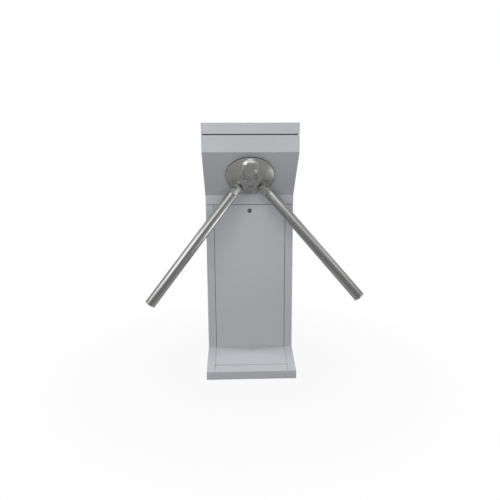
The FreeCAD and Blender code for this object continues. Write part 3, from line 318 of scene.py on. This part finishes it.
BLACK_PLASTIC = Finish(
    "black_moulding", "black_plastic", (0.025, 0.025, 0.026), 0.5,
    mottle=0.12, mottle_size=0.01, grain=Grain.CAST, grain_size=0.0008, relief=0.00003,
)
RESIST = Finish(
    "green_resist", "board_green", (0.02, 0.12, 0.05), 0.3,
    mottle=0.25, mottle_size=0.006, grain=Grain.BRUSHED, grain_size=0.0012,
    stretch=(12.0, 1.0, 1.0), relief=0.00003,
)
TERMINAL = Finish(
    "green_moulding", "terminal_green", (0.05, 0.24, 0.08), 0.45,
    mottle=0.08, mottle_size=0.01, grain=Grain.CAST, grain_size=0.0008, relief=0.00003,
)
CASE = Finish(
    "folded_aluminium", "supply_case", (0.52, 0.53, 0.54), 0.4, metallic=1.0,
    mottle=0.06, mottle_size=0.04, grain=Grain.BRUSHED, grain_size=0.0006,
    stretch=(40.0, 1.0, 1.0), relief=0.000008,
)


@dataclass(frozen=True)
class Surface:
    """A closed surface worked out on a grid: points, faces, and a UV pair per face corner."""

    points: Array
    faces: Array
    uv: Array


def carried_round(profile: Array, turn: Array) -> Surface:
    """Carry a closed profile round the Z axis.

    Point (i, j) is (r_i sin t_j, r_i cos t_j, z_i), where r and z may change with the angle. U runs
    round in metres at the largest radius, and V runs along the profile in metres.

    Args:
        profile: Radius and height, as (rows, 2) or (rows, columns, 2).
        turn: Angles of the columns, in radians, over one full turn.

    Returns:
        The surface, closed both ways.
    """
    columns = len(turn)
    if profile.ndim == 2:
        profile = np.repeat(profile[:, None, :], columns, axis=1)
    rows = profile.shape[0]
    radius, height = profile[..., 0], profile[..., 1]
    points = np.stack([radius * np.sin(turn), radius * np.cos(turn), height], axis=-1)
    row, column = np.meshgrid(np.arange(rows), np.arange(columns), indexing="ij")
    after, beside = (row + 1) % rows, (column + 1) % columns
    corners = [(row, column), (row, beside), (after, beside), (after, column)]
    faces = np.stack([r * columns + c for r, c in corners], axis=-1).reshape(-1, 4)
    step = np.linalg.norm(np.roll(profile, -1, axis=0) - profile, axis=-1).mean(axis=1)
    along = np.concatenate([[0.0], np.cumsum(step)])
    round_far = np.append(turn, turn[0] + 2 * math.pi) * radius.max()
    spots = [(row, column), (row, column + 1), (row + 1, column + 1), (row + 1, column)]
    uv = np.stack([np.stack([round_far[c], along[r]], axis=-1) for r, c in spots], axis=-2)
    return Surface(points.reshape(-1, 3), faces, uv.reshape(-1, 2))


def full_turn(count: int) -> Array:
    """Give evenly spaced angles over one turn, without the last repeat."""
    return np.linspace(0.0, 2 * math.pi, count, endpoint=False)


def rounded_profile(corners: Array, radii: Array, steps: int = 6) -> Array:
    """Round the corners of a closed outline.

    Each corner becomes the quadratic curve that leaves one side and joins the next at the corner's
    radius away from it, (1-t)^2 a + 2t(1-t) corner + t^2 b.

    Args:
        corners: Outline points, as (count, 2).
        radii: Setback of each corner.
        steps: Points on each curve.

    Returns:
        The rounded outline, as (count * steps, 2).
    """
    before = np.roll(corners, 1, axis=0) - corners
    beyond = np.roll(corners, -1, axis=0) - corners
    start = corners + before / np.linalg.norm(before, axis=1, keepdims=True) * radii[:, None]
    end = corners + beyond / np.linalg.norm(beyond, axis=1, keepdims=True) * radii[:, None]
    share = np.linspace(0.0, 1.0, steps)[None, :, None]
    left = 1 - share
    curve = left**2 * start[:, None] + 2 * share * left * corners[:, None] + share**2 * end[:, None]
    return curve.reshape(-1, 2)


def swept(sections: Array) -> Surface:
    """Join sections with four corners into a closed bar.

    Corner j of section i is joined to corner j of section i + 1, and the end sections are closed.
    U is the corner's place round the section and V its section, both by number.

    Args:
        sections: Corner points, as (sections, 4, 3).

    Returns:
        The bar's surface.
    """
    last, count = len(sections) - 1, sections.shape[1]
    corner = np.arange(count)
    beside = (corner + 1) % count
    around = np.stack([corner, beside, beside + count, corner + count], axis=-1)
    rows = [around + count * row for row in range(last)]
    faces = np.concatenate([*rows, corner[None], corner[None] + count * last])
    uv = np.stack([faces % count, faces // count], axis=-1).astype(float)
    return Surface(sections.reshape(-1, 3), faces, uv.reshape(-1, 2))


def frame_at(origin: Triple, across: Vector, along: Vector) -> Matrix:
    """Give a frame by its origin and two of its axes.

    Args:
        origin: Where it is.
        across: Its X axis.
        along: Its Z axis, square to the X axis.

    Returns:
        From that frame to the part's frame.
    """
    made = Matrix((across, along.cross(across), along)).transposed().to_4x4()
    made.translation = Vector(origin)
    return made


def mesh_of(name: str, surface: Surface, place: Matrix) -> bpy.types.Mesh:
    """Put a surface into a mesh, in its place in the part's frame.

    Args:
        name: Name of the mesh.
        surface: The surface, in its own frame.
        place: From the surface's frame to the part's frame.

    Returns:
        The mesh, with doubles merged at its poles and faces pointing outwards.
    """
    turn = np.array(place.to_3x3())
    points = surface.points @ turn.T + np.array(place.translation)
    mesh = bpy.data.meshes.new(name)
    mesh.from_pydata(points.tolist(), [], surface.faces.tolist())
    layer = mesh.uv_layers.new(name="UVMap")
    layer.data.foreach_set("uv", surface.uv.astype(np.float32).ravel())
    work = bmesh.new()
    work.from_mesh(mesh)
    bmesh.ops.remove_doubles(work, verts=work.verts, dist=POINT_GAP)
    bmesh.ops.dissolve_degenerate(work, edges=work.edges, dist=POINT_GAP)
    bmesh.ops.recalc_face_normals(work, faces=work.faces)
    work.to_mesh(mesh)
    work.free()
    return mesh


@dataclass
class SubAssembly:
    frame: dict

    def body_of(self, node: str) -> str:
        """Name the body that carries a CAD node."""
        bodies = self.frame["record"]["behaviour"]["bodies"]
        return next(body for body, nodes in bodies.items() if node in nodes)

    def joint(self, name: str) -> dict:
        """Find a joint by its name."""
        return next(joint for joint in self.frame["joints"] if joint["name"] == name)

    def show(
        self, name: str, mesh: bpy.types.Mesh, node: str, finish: Finish, replaced: bool = True
    ) -> bpy.types.Object:
        """Make a piece of a mesh, on the body of a CAD node.

        Args:
            name: Name of the piece.
            mesh: Its mesh, in the part's frame.
            node: CAD node whose body carries it.
            finish: Its finish.
            replaced: Whether the piece stands for the node.

        Returns:
            The piece.
        """
        mesh.shade_smooth()
        mesh.set_sharp_from_angle(angle=CREASE)
        mesh.materials.clear()
        mesh.materials.append(finish.material())
        piece = bpy.data.objects.new(name, mesh)
        bpy.context.scene.collection.objects.link(piece)
        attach(piece, self.body_of(node))
        if replaced:
            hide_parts(node)
        LOG.info("piece %s rides with %s", name, node)
        return piece

    def soften(self, node: str, finish: Finish, bend: float, steps: int = 3) -> bpy.types.Object:
        """Show a CAD node with its edges rounded to a bend.

        Args:
            node: The CAD node.
            finish: Its finish.
            bend: Width of the rounded edge.
            steps: Segments across the edge.

        Returns:
            The piece that replaces the node.
        """
        mesh = bpy.data.meshes.new(f"{node}_skin")
        work = bmesh.new()
        work.from_mesh(self.frame["nodes"][node].data)
        bmesh.ops.remove_doubles(work, verts=work.verts, dist=CAD_POINT_GAP)
        bmesh.ops.dissolve_limit(work, angle_limit=FLAT_ANGLE, verts=work.verts, edges=work.edges)
        work.to_mesh(mesh)
        work.free()
        piece = self.show(f"{node}_skin", mesh, node, finish)
        edge = piece.modifiers.new("bend", "BEVEL")
        edge.width = bend
        edge.segments = steps
        edge.limit_method = "ANGLE"
        edge.angle_limit = CREASE
        edge.harden_normals = True
        return piece

    def flatten(self, piece: bpy.types.Object) -> None:
        """Shade a piece of flat sheet flat, so that its large faces stay even."""
        piece.data.shade_flat()
        piece.modifiers["bend"].harden_normals = False

    def dress(self, finishes: dict[Finish, str]) -> None:
        """Give CAD nodes that stay their finish.

        Args:
            finishes: Finish to the names of its nodes, parted by spaces.
        """
        for finish, nodes in finishes.items():
            for node in nodes.split():
                mesh = self.frame["nodes"][node].data
                mesh.materials.clear()
                mesh.materials.append(finish.material())
                LOG.info("node %s has the finish %s", node, finish.name)


@dataclass
class Cabinet(SubAssembly):
    """Sheet steel cabinet with its lid, seal, cover and lock, and black strips of painted shade in
    its gaps.
    """

    fold: float = 0.0012
    cut_edge: float = 0.0004
    lock_edge: float = 0.0008
    sheet: float = 0.002
    groove: float = 0.002
    strip: float = 0.0012

    def groove_shade_strip(self, side: int) -> bpy.types.Mesh:
        """Work out the black strip in the groove beside the cover, painted shade that darkens the
        groove.

        Its rectangular section, as wide as the groove, is carried down the column, round the inside
        corner and forward over the foot. Its back lies one sheet behind the cover's face.

        Args:
            side: -1 for the left groove and 1 for the right one.

        Returns:
            The strip's mesh.
        """
        low, high = (np.array(corner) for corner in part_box("front_cover"))
        face, top, rise = high[1] - self.sheet, low[2] + self.sheet, high[2]
        near = self.sheet - self.strip
        depth = np.array([near, self.sheet, self.sheet, near])
        across = side * (high[0] + self.groove * np.array([0.0, 0.0, 1.0, 1.0]))
        path = [
            (face + depth, rise + 0 * depth),
            (face + depth, top - depth),
            (low[1] + 0 * depth, top - depth),
        ]
        sections = np.stack([np.stack([across, y, z], axis=-1) for y, z in path])
        name = "groove_shade_strip_left" if side < 0 else "groove_shade_strip_right"
        return mesh_of(name, swept(sections), Matrix())

    def seam_shade_strip(self) -> bpy.types.Mesh:
        """Work out the black strip in the seam between the head and the column, painted shade that
        darkens the seam.

        Its rectangular section fills the seam's height and is carried straight across the cabinet,
        with its front level with the groove strips.

        Returns:
            The strip's mesh.
        """
        low, high = (np.array(corner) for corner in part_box("joint_frame"))
        cover_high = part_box("front_cover")[1]
        front = cover_high[1] - self.strip
        under, over = cover_high[2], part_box("head_shell")[0][2]
        y = np.array([front, low[1], low[1], front])
        z = np.array([under, under, over, over])
        sections = np.stack([np.stack([0 * y + x, y, z], axis=-1) for x in (low[0], high[0])])
        return mesh_of("seam_shade_strip", swept(sections), Matrix())

    def build(self) -> None:
        """Show the folded skins, the lock's face, the lid's seal and the black strips of painted
        shade.
        """
        # The groove and seam strips are painted shade: black sheets that darken the gaps beside the
        # cover and under the head.
        for mesh in (self.groove_shade_strip(-1), self.groove_shade_strip(1), self.seam_shade_strip()):
            self.show(mesh.name, mesh, "lid_seal", SEAL_RUBBER_AND_GAP_SHADE, replaced=False)
        for node in ("head_shell", "top_lid", "foot_nose"):
            self.soften(node, PAINT, self.fold)
        for node in ("left_cheek", "right_cheek", "front_cover", "back_panel"):
            self.flatten(self.soften(node, PAINT, self.cut_edge))
        self.soften("lock_barrel", LOCK_CHROME, self.lock_edge)
        self.soften("lock_plug", LOCK_CHROME, self.cut_edge)
        self.dress({
            SEAL_RUBBER_AND_GAP_SHADE: "lid_seal",
            SCREW_STEEL: "lock_nut lock_cam",
            ZINC: "base_plate foot_ribs joint_frame",
        })


@dataclass
class RotorHead(SubAssembly):
    """Sloped rotor: hub with three forks, domed disc, screws and hinge pins."""

    dome_radius: float = 0.096
    dome_edge: float = 0.0105
    dome_low: float = 0.0080
    dome_rise: float = 0.024
    dome_wall: float = 0.0025
    dome_roll: float = 0.0008
    dome_rows: int = 14
    dome_columns: int = 240
    roll_rows: int = 7
    hollow_radius: float = 0.0935
    centre_radius: float = 0.0425
    notch_half: float = 0.0255
    notch_end: float = 0.071
    blades: int = 3
    edge: float = 0.0008
    edge_play: float = 0.0002
    edge_angle: float = math.radians(50.0)
    fork_half: float = 0.025
    fork_edge: float = 0.0040
    pin_place: float = 0.057
    pin_height: float = 0.036
    pin_clear: float = 0.009

    def place(self) -> Matrix:
        """Give the rotor's frame.

        Returns:
            The frame, with Z out along the rotor's axis and Y along the front arm.
        """
        spin, fold = self.joint("rotor_spin"), self.joint("front_arm_fold")
        return frame_at(spin["pos_m"], Vector(fold["axis"]), Vector(spin["axis"]))

    def inner_edge(self, turn: Array) -> Array:
        """Radius where the dome begins at an angle.

        Round the nose it is a circle. Within a fork's notch, at d from the fork's middle, it is the
        notch's end, end / cos d, or its side, half / sin d, whichever is nearer.

        Args:
            turn: Angles from the front fork, in radians.

        Returns:
            One radius per angle.
        """
        pitch = 2 * math.pi / self.blades
        away = np.abs((turn + pitch / 2) % pitch - pitch / 2)
        side = self.notch_half / np.maximum(np.sin(away), TINY)
        end = self.notch_end / np.cos(away)
        return np.maximum(np.minimum(side, end), self.centre_radius)

    def dome_turn(self) -> Array:
        """Give the angles of the dome's columns.

        They are spread evenly over one turn, with one more at each corner of the notches: at
        atan(half / end) and asin(half / centre) to both sides of each fork.

        Returns:
            The angles, in radians.
        """
        outer = math.atan2(self.notch_half, self.notch_end)
        inner = math.asin(self.notch_half / self.centre_radius)
        bends = np.array([outer, inner, -outer, -inner])
        forks = 2 * math.pi / self.blades * np.arange(self.blades)
        corners = (bends[None, :] + forks[:, None]).ravel() % (2 * math.pi)
        angles = np.concatenate([full_turn(self.dome_columns), corners])
        return np.unique(np.round(angles, decimals=9))

    def dome(self) -> bpy.types.Mesh:
        """Work out the domed disc: a spherical shell with an upright rim and three fork notches.

        The outer height at radius r is the cap of a sphere, centre + sqrt(R^2 - r^2), and the inner
        one is the same with R less the wall. Between cap and rim the edge is a quarter of a circle.

        Returns:
            The dome's mesh.
        """
        turn = self.dome_turn()
        sphere = (self.dome_radius**2 + self.dome_rise**2) / (2 * self.dome_rise)
        centre = self.dome_edge + self.dome_rise - sphere
        roll = self.dome_roll
        quarter = np.linspace(0.0, math.pi / 2, self.roll_rows)[:, None]
        start = self.inner_edge(turn)[None, :]
        share = np.linspace(0.0, 1.0, self.dome_rows)[:, None]
        outer = start + (self.dome_radius - roll - start) * share
        outer_high = centre + np.sqrt(sphere**2 - outer**2)
        rim = self.dome_radius - roll + roll * np.sin(quarter) + 0 * start
        rim_high = outer_high[-1:] - roll + roll * np.cos(quarter) + 0 * start
        foot = np.array([[self.dome_radius], [self.hollow_radius]]) + 0 * start
        foot_high = self.dome_low + 0 * foot
        inner = self.hollow_radius + (start - self.hollow_radius) * share
        inner_high = centre + np.sqrt((sphere - self.dome_wall) ** 2 - inner**2)
        radius = np.concatenate([outer, rim[1:], foot, inner])
        height = np.concatenate([outer_high, rim_high[1:], foot_high, inner_high])
        surface = carried_round(np.stack([radius, height], axis=-1), turn)
        return mesh_of("rotor_dome_skin", surface, self.place())

    def round_forks(self, hub: bpy.types.Object) -> None:
        """Round the forks' outer edges more than the hub's other edges.

        With a fork's direction turned onto Y, its outer edges are those whose ends all have |x| at
        half the fork's width. Their share of the bevel is 1, and that of the other edges is the
        broken edge over the fork's edge. Edges round a pin's hole, nearer to the pin's axis than
        its clear radius, stay sharp.

        Args:
            hub: The hub, with its bevel.
        """
        work = bmesh.new()
        work.from_mesh(hub.data)
        points = np.empty(3 * len(hub.data.vertices), dtype=np.float32)
        hub.data.vertices.foreach_get("co", points)
        back = np.array(self.place().inverted())
        points = points.reshape(-1, 3).astype(float) @ back[:3, :3].T + back[:3, 3]
        turn = full_turn(self.blades)
        across = points[:, :1] * np.cos(turn) - points[:, 1:2] * np.sin(turn)
        out = points[:, :1] * np.sin(turn) + points[:, 1:2] * np.cos(turn)
        outer = (np.abs(np.abs(across) - self.fork_half) < self.edge_play) & (out > 0.0)
        from_pin = np.hypot(out - self.pin_place, points[:, 2:] - self.pin_height)
        hole = (from_pin < self.pin_clear).any(axis=1)
        share = work.edges.layers.float.new("bevel_weight_edge")
        for edge in work.edges:
            if edge.is_manifold and edge.calc_face_angle() > self.edge_angle:
                ends = [vertex.index for vertex in edge.verts]
                whole = outer[ends].all(axis=0).any()
                rounded = 1.0 if whole else self.edge / self.fork_edge
                edge[share] = 0.0 if hole[ends].all() else rounded
        work.to_mesh(hub.data)
        work.free()
        hub.modifiers["bend"].limit_method = "WEIGHT"

    def build(self) -> None:
        """Show the dome and the hub, and finish what they carry."""
        self.show("rotor_dome_skin", self.dome(), "rotor_dome", DOME_STEEL)
        self.round_forks(self.soften("rotor_hub", HUB_STEEL, self.fork_edge, steps=1))
        # The rotor plate's near-black is painted shade for the gap under the dome's rim.
        self.dress({PLATE_GAP_SHADE: "rotor_plate", SCREW_STEEL: "hub_screws", HUB_STEEL: "arm_pins"})


@dataclass
class TripodArm(SubAssembly):
    """One folding arm: a flat tang in the fork, a tube and an end cap."""

    name: str
    radius: float = 0.020
    wall: float = 0.002
    shoulder: float = 0.0338
    tube_start: float = 0.042
    spigot: float = 0.040
    length: float = 0.5617
    cap: float = 0.006
    cap_rounding: float = 0.0024
    cap_crown: float = 0.0048
    cap_spigot: float = 0.018
    crown_rows: int = 12
    roll_rows: int = 10
    broken_edge: float = 0.0004
    tang_edge: float = 0.0008
    plug_gap: float = 0.0001
    spread: float = math.radians(45.0)
    segments: int = 128

    @property
    def bore(self) -> float:
        """Inner radius of the tube."""
        return self.radius - self.wall

    @property
    def tube_end(self) -> float:
        """Where the tube ends and the cap begins."""
        return self.length - self.cap

    def place(self) -> Matrix:
        """Give the arm's frame.

        Returns:
            The frame, with X along the hinge pin and Z along the tube.
        """
        hinge = self.joint(f"{self.name}_arm_fold")
        across = Vector(hinge["axis"])
        out = Vector(self.joint("rotor_spin")["axis"])
        along = out.cross(across) * math.sin(self.spread) + out * math.cos(self.spread)
        return frame_at(hinge["pos_m"], across, along)

    def turned(self, part: str, corners: Array, radii: Array) -> bpy.types.Mesh:
        """Carry a rounded outline of radius and height round the arm's axis.

        Args:
            part: Name of the part.
            corners: Outline, as (count, 2).
            radii: Rounding of each corner.

        Returns:
            The mesh.
        """
        surface = carried_round(rounded_profile(corners, radii), full_turn(self.segments))
        return mesh_of(f"{self.name}_arm_{part}_skin", surface, self.place())

    def tube_mesh(self) -> bpy.types.Mesh:
        """Work out the tube: a rectangle of its wall and length, carried round.

        Returns:
            The tube's mesh.
        """
        corners = np.array([
            (self.radius, self.tube_start), (self.radius, self.tube_end),
            (self.bore, self.tube_end), (self.bore, self.tube_start),
        ])
        return self.turned("tube", corners, np.full(len(corners), self.broken_edge))

    def cap_mesh(self) -> bpy.types.Mesh:
        """Work out the end cap: a crowned face with a rolled edge on a plug in the tube.

        The crown falls with the square of the radius, end - crown (r / R)^2, and then rolls over to
        the tube along a quarter of an ellipse.

        Returns:
            The cap's mesh.
        """
        flat = self.radius - self.cap_rounding
        plug = self.bore - self.plug_gap
        plug_end = self.tube_end - self.cap_spigot
        face = np.linspace(0.0, flat, self.crown_rows)
        high = self.length - self.cap_crown * (face / self.radius) ** 2
        drop = high[-1] - self.tube_end - self.broken_edge
        roll = np.linspace(0.0, math.pi / 2, self.roll_rows)[1:]
        rolled = flat + self.cap_rounding * np.sin(roll)
        rolled_high = high[-1] - drop * (1 - np.cos(roll))
        stem = np.array([
            (self.radius - self.broken_edge, self.tube_end), (plug, self.tube_end),
            (plug, plug_end), (0.0, plug_end),
        ])
        crown, edge = np.stack([face, high], axis=-1), np.stack([rolled, rolled_high], axis=-1)
        surface = carried_round(np.concatenate([crown, edge, stem]), full_turn(self.segments))
        return mesh_of(f"{self.name}_arm_cap_skin", surface, self.place())

    def shoulder_mesh(self) -> bpy.types.Mesh:
        """Work out the root's round shoulder: a chamfered collar and a plug in the tube.

        Returns:
            The shoulder's mesh.
        """
        plug, plug_end = self.bore - self.plug_gap, self.tube_start + self.spigot
        corners = np.array([
            (0.0, self.shoulder), (self.bore, self.shoulder),
            (self.radius, self.shoulder + self.wall), (self.radius, self.tube_start),
            (plug, self.tube_start), (plug, plug_end), (0.0, plug_end),
        ])
        radii = np.where(corners[:, 0] > 0.0, self.broken_edge, 0.0)
        return self.turned("shoulder", corners, radii)

    def keep_below(self, mesh: bpy.types.Mesh, height: float) -> None:
        """Cut a mesh off square across the arm and close the cut.

        Args:
            mesh: The mesh, in the part's frame.
            height: Where along the arm the cut is; the side with the hinge pin stays.
        """
        place = self.place()
        work = bmesh.new()
        work.from_mesh(mesh)
        cut = bmesh.ops.bisect_plane(
            work,
            geom=[*work.verts, *work.edges, *work.faces],
            dist=CAD_POINT_GAP,
            plane_co=place @ Vector((0.0, 0.0, height)),
            plane_no=place.to_3x3() @ Vector((0.0, 0.0, 1.0)),
            clear_outer=True,
        )
        edges = [item for item in cut["geom_cut"] if isinstance(item, bmesh.types.BMEdge)]
        bmesh.ops.holes_fill(work, edges=edges, sides=0)
        bmesh.ops.recalc_face_normals(work, faces=work.faces)
        work.to_mesh(mesh)
        work.free()

    def build(self) -> None:
        """Show root, tube and cap."""
        arm = f"{self.name}_arm"
        self.show(f"{arm}_tube_skin", self.tube_mesh(), f"{arm}_tube", ARM_STEEL)
        self.show(f"{arm}_cap_skin", self.cap_mesh(), f"{arm}_cap", CAP_STEEL)
        self.show(f"{arm}_shoulder_skin", self.shoulder_mesh(), f"{arm}_root", ARM_STEEL)
        tang = self.soften(f"{arm}_root", TANG_STEEL, self.tang_edge)
        self.keep_below(tang.data, self.shoulder)


@dataclass
class Mechanism(SubAssembly):
    """Shaft, bearings, drive, lock and electronics behind the sloped face."""

    def build(self) -> None:
        """Finish the pieces, whose CAD shapes stay."""
        self.dress({
            MACHINED: "main_shaft shaft_spacers shaft_nut bearing_inner_rings bearing_outer_rings "
                      "bearing_balls main_gear motor_pinion motor_shaft lock_wheel left_pawl "
                      "right_pawl left_plunger right_plunger pawl_pins",
            SCREW_STEEL: "housing_screws plate_nuts",
            ZINC: "mechanism_plate carrier_plate carrier_pillars electronics_panel board_spacers "
                  "sensor_bracket",
            IRON: "bearing_housing",
            ENAMEL: "centring_motor lock_solenoids",
            BLACK_PLASTIC: "encoder_disc encoder_sensor",
            RESIST: "control_board",
            TERMINAL: "terminal_blocks",
            CASE: "power_supply",
        })


@dataclass(frozen=True)
class Lamp:
    """A square soft light: its place, what it points at, its side and its power in watts."""

    name: str
    place: Triple
    aim: Triple
    size: float
    power: float


@dataclass(frozen=True)
class Card:
    """A card or lit panel that the metal mirrors: its centre, its two half sides and its tone."""

    name: str
    middle: Triple
    across: Triple
    along: Triple
    tone: float


LAMPS = (
    Lamp("eye_light", (-0.4, -2.0, 1.70), (0.0, 0.0, 0.9), 1.8, 30.5),
    Lamp("near_light", (0.0, -1.4, 0.60), (0.0, 0.0, 0.76), 0.8, 6.8),
    Lamp("high_light", (0.0, -1.5, 3.4), (0.0, -0.2, 0.3), 1.2, 10.0),
    Lamp("left_light", (-2.4, 0.35, 2.6), (0.0, -0.1, 0.1), 0.5, 50.0),
    Lamp("right_light", (2.4, 0.35, 2.6), (0.0, -0.1, 0.1), 0.5, 45.0),
    Lamp("back_light", (0.8, 3.2, 1.5), (0.0, 0.2, 0.6), 2.0, 45.0),
)
CARDS = (
    Card("front_card", (0.0, -4.2, 1.5), (4.5, 0.0, 0.0), (0.0, 0.0, 1.5), 0.26),
    Card("left_card", (-3.2, -0.5, 1.3), (0.0, 4.0, 0.0), (0.0, 0.0, 1.3), 0.45),
    Card("right_card", (3.2, -0.5, 1.3), (0.0, 4.0, 0.0), (0.0, 0.0, 1.3), 0.45),
    Card("ceiling_card", (0.0, 1.0, 3.6), (3.5, 0.0, 0.0), (0.0, 2.5, 0.0), 0.40),
    Card("front_ceiling", (0.0, -3.0, 3.6), (3.5, 0.0, 0.0), (0.0, 1.5, 0.0), 0.90),
    Card("back_card", (0.0, 4.2, 1.8), (4.5, 0.0, 0.0), (0.0, 0.0, 1.8), 0.25),
    Card("floor_card", (0.0, 0.0, 0.002), (3.2, 0.0, 0.0), (0.0, 4.2, 0.0), 0.26),
    Card("left_floor", (-2.1, -1.2, 0.003), (1.1, 0.0, 0.0), (0.0, 2.0, 0.0), 0.24),
    Card("right_floor", (2.1, -1.2, 0.003), (1.1, 0.0, 0.0), (0.0, 2.0, 0.0), 0.70),
    Card("near_card", (0.0, -0.34, 0.004), (0.36, 0.0, 0.0), (0.0, 0.26, 0.0), 0.44),
    Card("side_card", (-0.45, -0.05, 0.004), (0.25, 0.0, 0.0), (0.0, 0.25, 0.0), 0.44),
    Card("near_panel", (1.15, -0.15, 0.004), (0.40, 0.0, 0.0), (0.0, 0.30, 0.0), 3.0),
    Card("top_panel", (-0.10, -2.05, 3.5), (0.60, 0.0, 0.0), (0.0, 0.55, 0.0), 4.0),
    Card("left_panel", (-1.75, -1.70, 2.05), (0.80, -0.82, 0.0), (0.21, 0.20, 0.52), 2.0),
    Card("right_panel", (1.30, -2.04, 2.25), (0.36, 0.23, 0.0), (-0.10, 0.16, 0.60), 0.65),
)


@dataclass
class Studio:
    """White studio: floor, soft lights, cards for the metal to mirror, and the camera."""

    camera_place: Triple = (-0.055, -1.802, 0.799)
    camera_down: float = 9.54
    camera_right: float = 1.8
    camera_roll: float = -0.31
    camera_reach: float = 200.0
    lens: float = 31.09
    sensor: float = 36.0
    ambient: float = 0.16
    floor_half: float = 30.0
    floor_drop: float = 0.0004
    floor_grey: float = 0.18
    floor_white: float = 0.93
    shadow_start: float = 0.3
    shadow_reach: float = 1.0

    def open_rays(self, shader: Shader) -> bpy.types.NodeSocket:
        """Tell rays of the camera, of gloss and of glass from the rest.

        Args:
            shader: Node builder of the world or the floor.

        Returns:
            Socket that is 1 for such a ray and else 0.
        """
        path = shader.add("ShaderNodeLightPath")
        seen = path.outputs["Is Camera Ray"]
        for other in ("Is Glossy Ray", "Is Transmission Ray"):
            either = {0: seen, 1: path.outputs[other]}
            seen = shader.add("ShaderNodeMath", either, operation="MAXIMUM").outputs[0]
        return seen

    def world(self) -> None:
        """Light the scene evenly, with a white background for camera, gloss and glass."""
        world = bpy.data.worlds.new("studio_air")
        world.use_nodes = True
        bpy.context.scene.world = world
        shader = Shader(world.node_tree)
        seen = self.open_rays(shader)
        soft, white = (
            shader.add("ShaderNodeBackground", {"Color": WHITE, "Strength": strength}).outputs[0]
            for strength in (self.ambient, 1.0)
        )
        mix = shader.add("ShaderNodeMixShader", {0: seen, 1: soft, 2: white})
        shader.add("ShaderNodeOutputWorld", {"Surface": mix.outputs[0]})

    def plane(self, name: str, middle: Triple, across: Triple, along: Triple) -> bpy.types.Object:
        """Make a flat rectangle.

        Args:
            name: Name of the object.
            middle: Its centre.
            across: Half of its first side.
            along: Half of its second side.

        Returns:
            The rectangle.
        """
        signs = np.array([(-1, -1), (1, -1), (1, 1), (-1, 1)])
        corners = np.array(middle) + signs @ np.array([across, along])
        mesh = bpy.data.meshes.new(name)
        mesh.from_pydata(corners.tolist(), [], [(0, 1, 2, 3)])
        sheet = bpy.data.objects.new(name, mesh)
        bpy.context.scene.collection.objects.link(sheet)
        return sheet

    def floor(self) -> None:
        """Lay a pale floor that reads white to the camera and keeps a soft shadow."""
        half, middle = self.floor_half, (0.0, 0.0, -self.floor_drop)
        grey = (self.floor_grey, self.floor_grey, self.floor_grey, 1.0)
        floor = self.plane("floor", middle, (half, 0.0, 0.0), (0.0, half, 0.0))
        made = bpy.data.materials.new("pale_floor")
        made.use_nodes = True
        shader = Shader(made.node_tree)
        place = shader.add("ShaderNodeTexCoord").outputs["Object"]
        away = shader.add("ShaderNodeVectorMath", {0: place}, operation="LENGTH").outputs["Value"]
        near = shader.add("ShaderNodeMapRange", {
            "Value": away,
            "From Min": self.shadow_start,
            "From Max": self.shadow_reach,
            "To Min": self.floor_white,
            "To Max": 1.0,
        }).outputs[0]
        lit = {0: self.open_rays(shader), 1: near}
        white = shader.add("ShaderNodeMath", lit, operation="MULTIPLY").outputs[0]
        matt = shader.add("ShaderNodeBsdfDiffuse", {"Color": grey}).outputs[0]
        glow = shader.add("ShaderNodeEmission", {"Color": WHITE, "Strength": 1.0}).outputs[0]
        mix = shader.add("ShaderNodeMixShader", {0: white, 1: matt, 2: glow})
        shader.add("ShaderNodeOutputMaterial", {"Surface": mix.outputs[0]})
        floor.data.materials.append(made)

    def hang_card(self, card: Card) -> None:
        """Hang a card or a lit panel that only polished metal sees.

        Args:
            card: The card.
        """
        sheet = self.plane(card.name, card.middle, card.across, card.along)
        made = bpy.data.materials.new(card.name)
        made.use_nodes = True
        shader = Shader(made.node_tree)
        colour = (card.tone, card.tone, card.tone, 1.0)
        glow = shader.add("ShaderNodeEmission", {"Color": colour, "Strength": 1.0})
        shader.add("ShaderNodeOutputMaterial", {"Surface": glow.outputs[0]})
        sheet.data.materials.append(made)
        sheet.visible_camera = False
        sheet.visible_diffuse = False
        sheet.visible_shadow = False
        sheet.visible_transmission = False

    def hang_lamp(self, lamp: Lamp) -> None:
        """Hang a soft light, which polished metal shows as the panels instead.

        Args:
            lamp: The light.
        """
        data = bpy.data.lights.new(lamp.name, "AREA")
        data.size = lamp.size
        data.energy = lamp.power
        light = bpy.data.objects.new(lamp.name, data)
        light.location = lamp.place
        sight = Vector(lamp.aim) - Vector(lamp.place)
        light.rotation_euler = sight.to_track_quat("-Z", "Y").to_euler()
        light.visible_glossy = False
        bpy.context.scene.collection.objects.link(light)

    def camera(self) -> None:
        """Stand the camera where the photograph was taken from."""
        data = bpy.data.cameras.new("camera")
        data.lens = self.lens
        data.sensor_width = self.sensor
        data.clip_end = self.camera_reach
        camera = bpy.data.objects.new("camera", data)
        bpy.context.scene.collection.objects.link(camera)
        turn = Matrix.Rotation(math.radians(-self.camera_right), 4, "Z")
        turn = turn @ Matrix.Rotation(math.radians(90.0 - self.camera_down), 4, "X")
        turn = turn @ Matrix.Rotation(math.radians(self.camera_roll), 4, "Z")
        camera.matrix_world = Matrix.Translation(self.camera_place) @ turn
        bpy.context.scene.camera = camera

    def build(self) -> None:
        """Set the stage."""
        bpy.context.scene.view_settings.view_transform = "Standard"
        self.world()
        self.floor()
        for lamp in LAMPS:
            self.hang_lamp(lamp)
        for card in CARDS:
            self.hang_card(card)
        self.camera()


def main() -> None:
    """Build every sub-assembly in order."""
    logging.basicConfig(level=logging.INFO, format="%(name)s: %(message)s")
    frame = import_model()
    Cabinet(frame).build()
    RotorHead(frame).build()
    for name in ("front", "left", "right"):
        TripodArm(frame, name).build()
    Mechanism(frame).build()
    Studio().build()


if __name__ == "__main__":
    main()
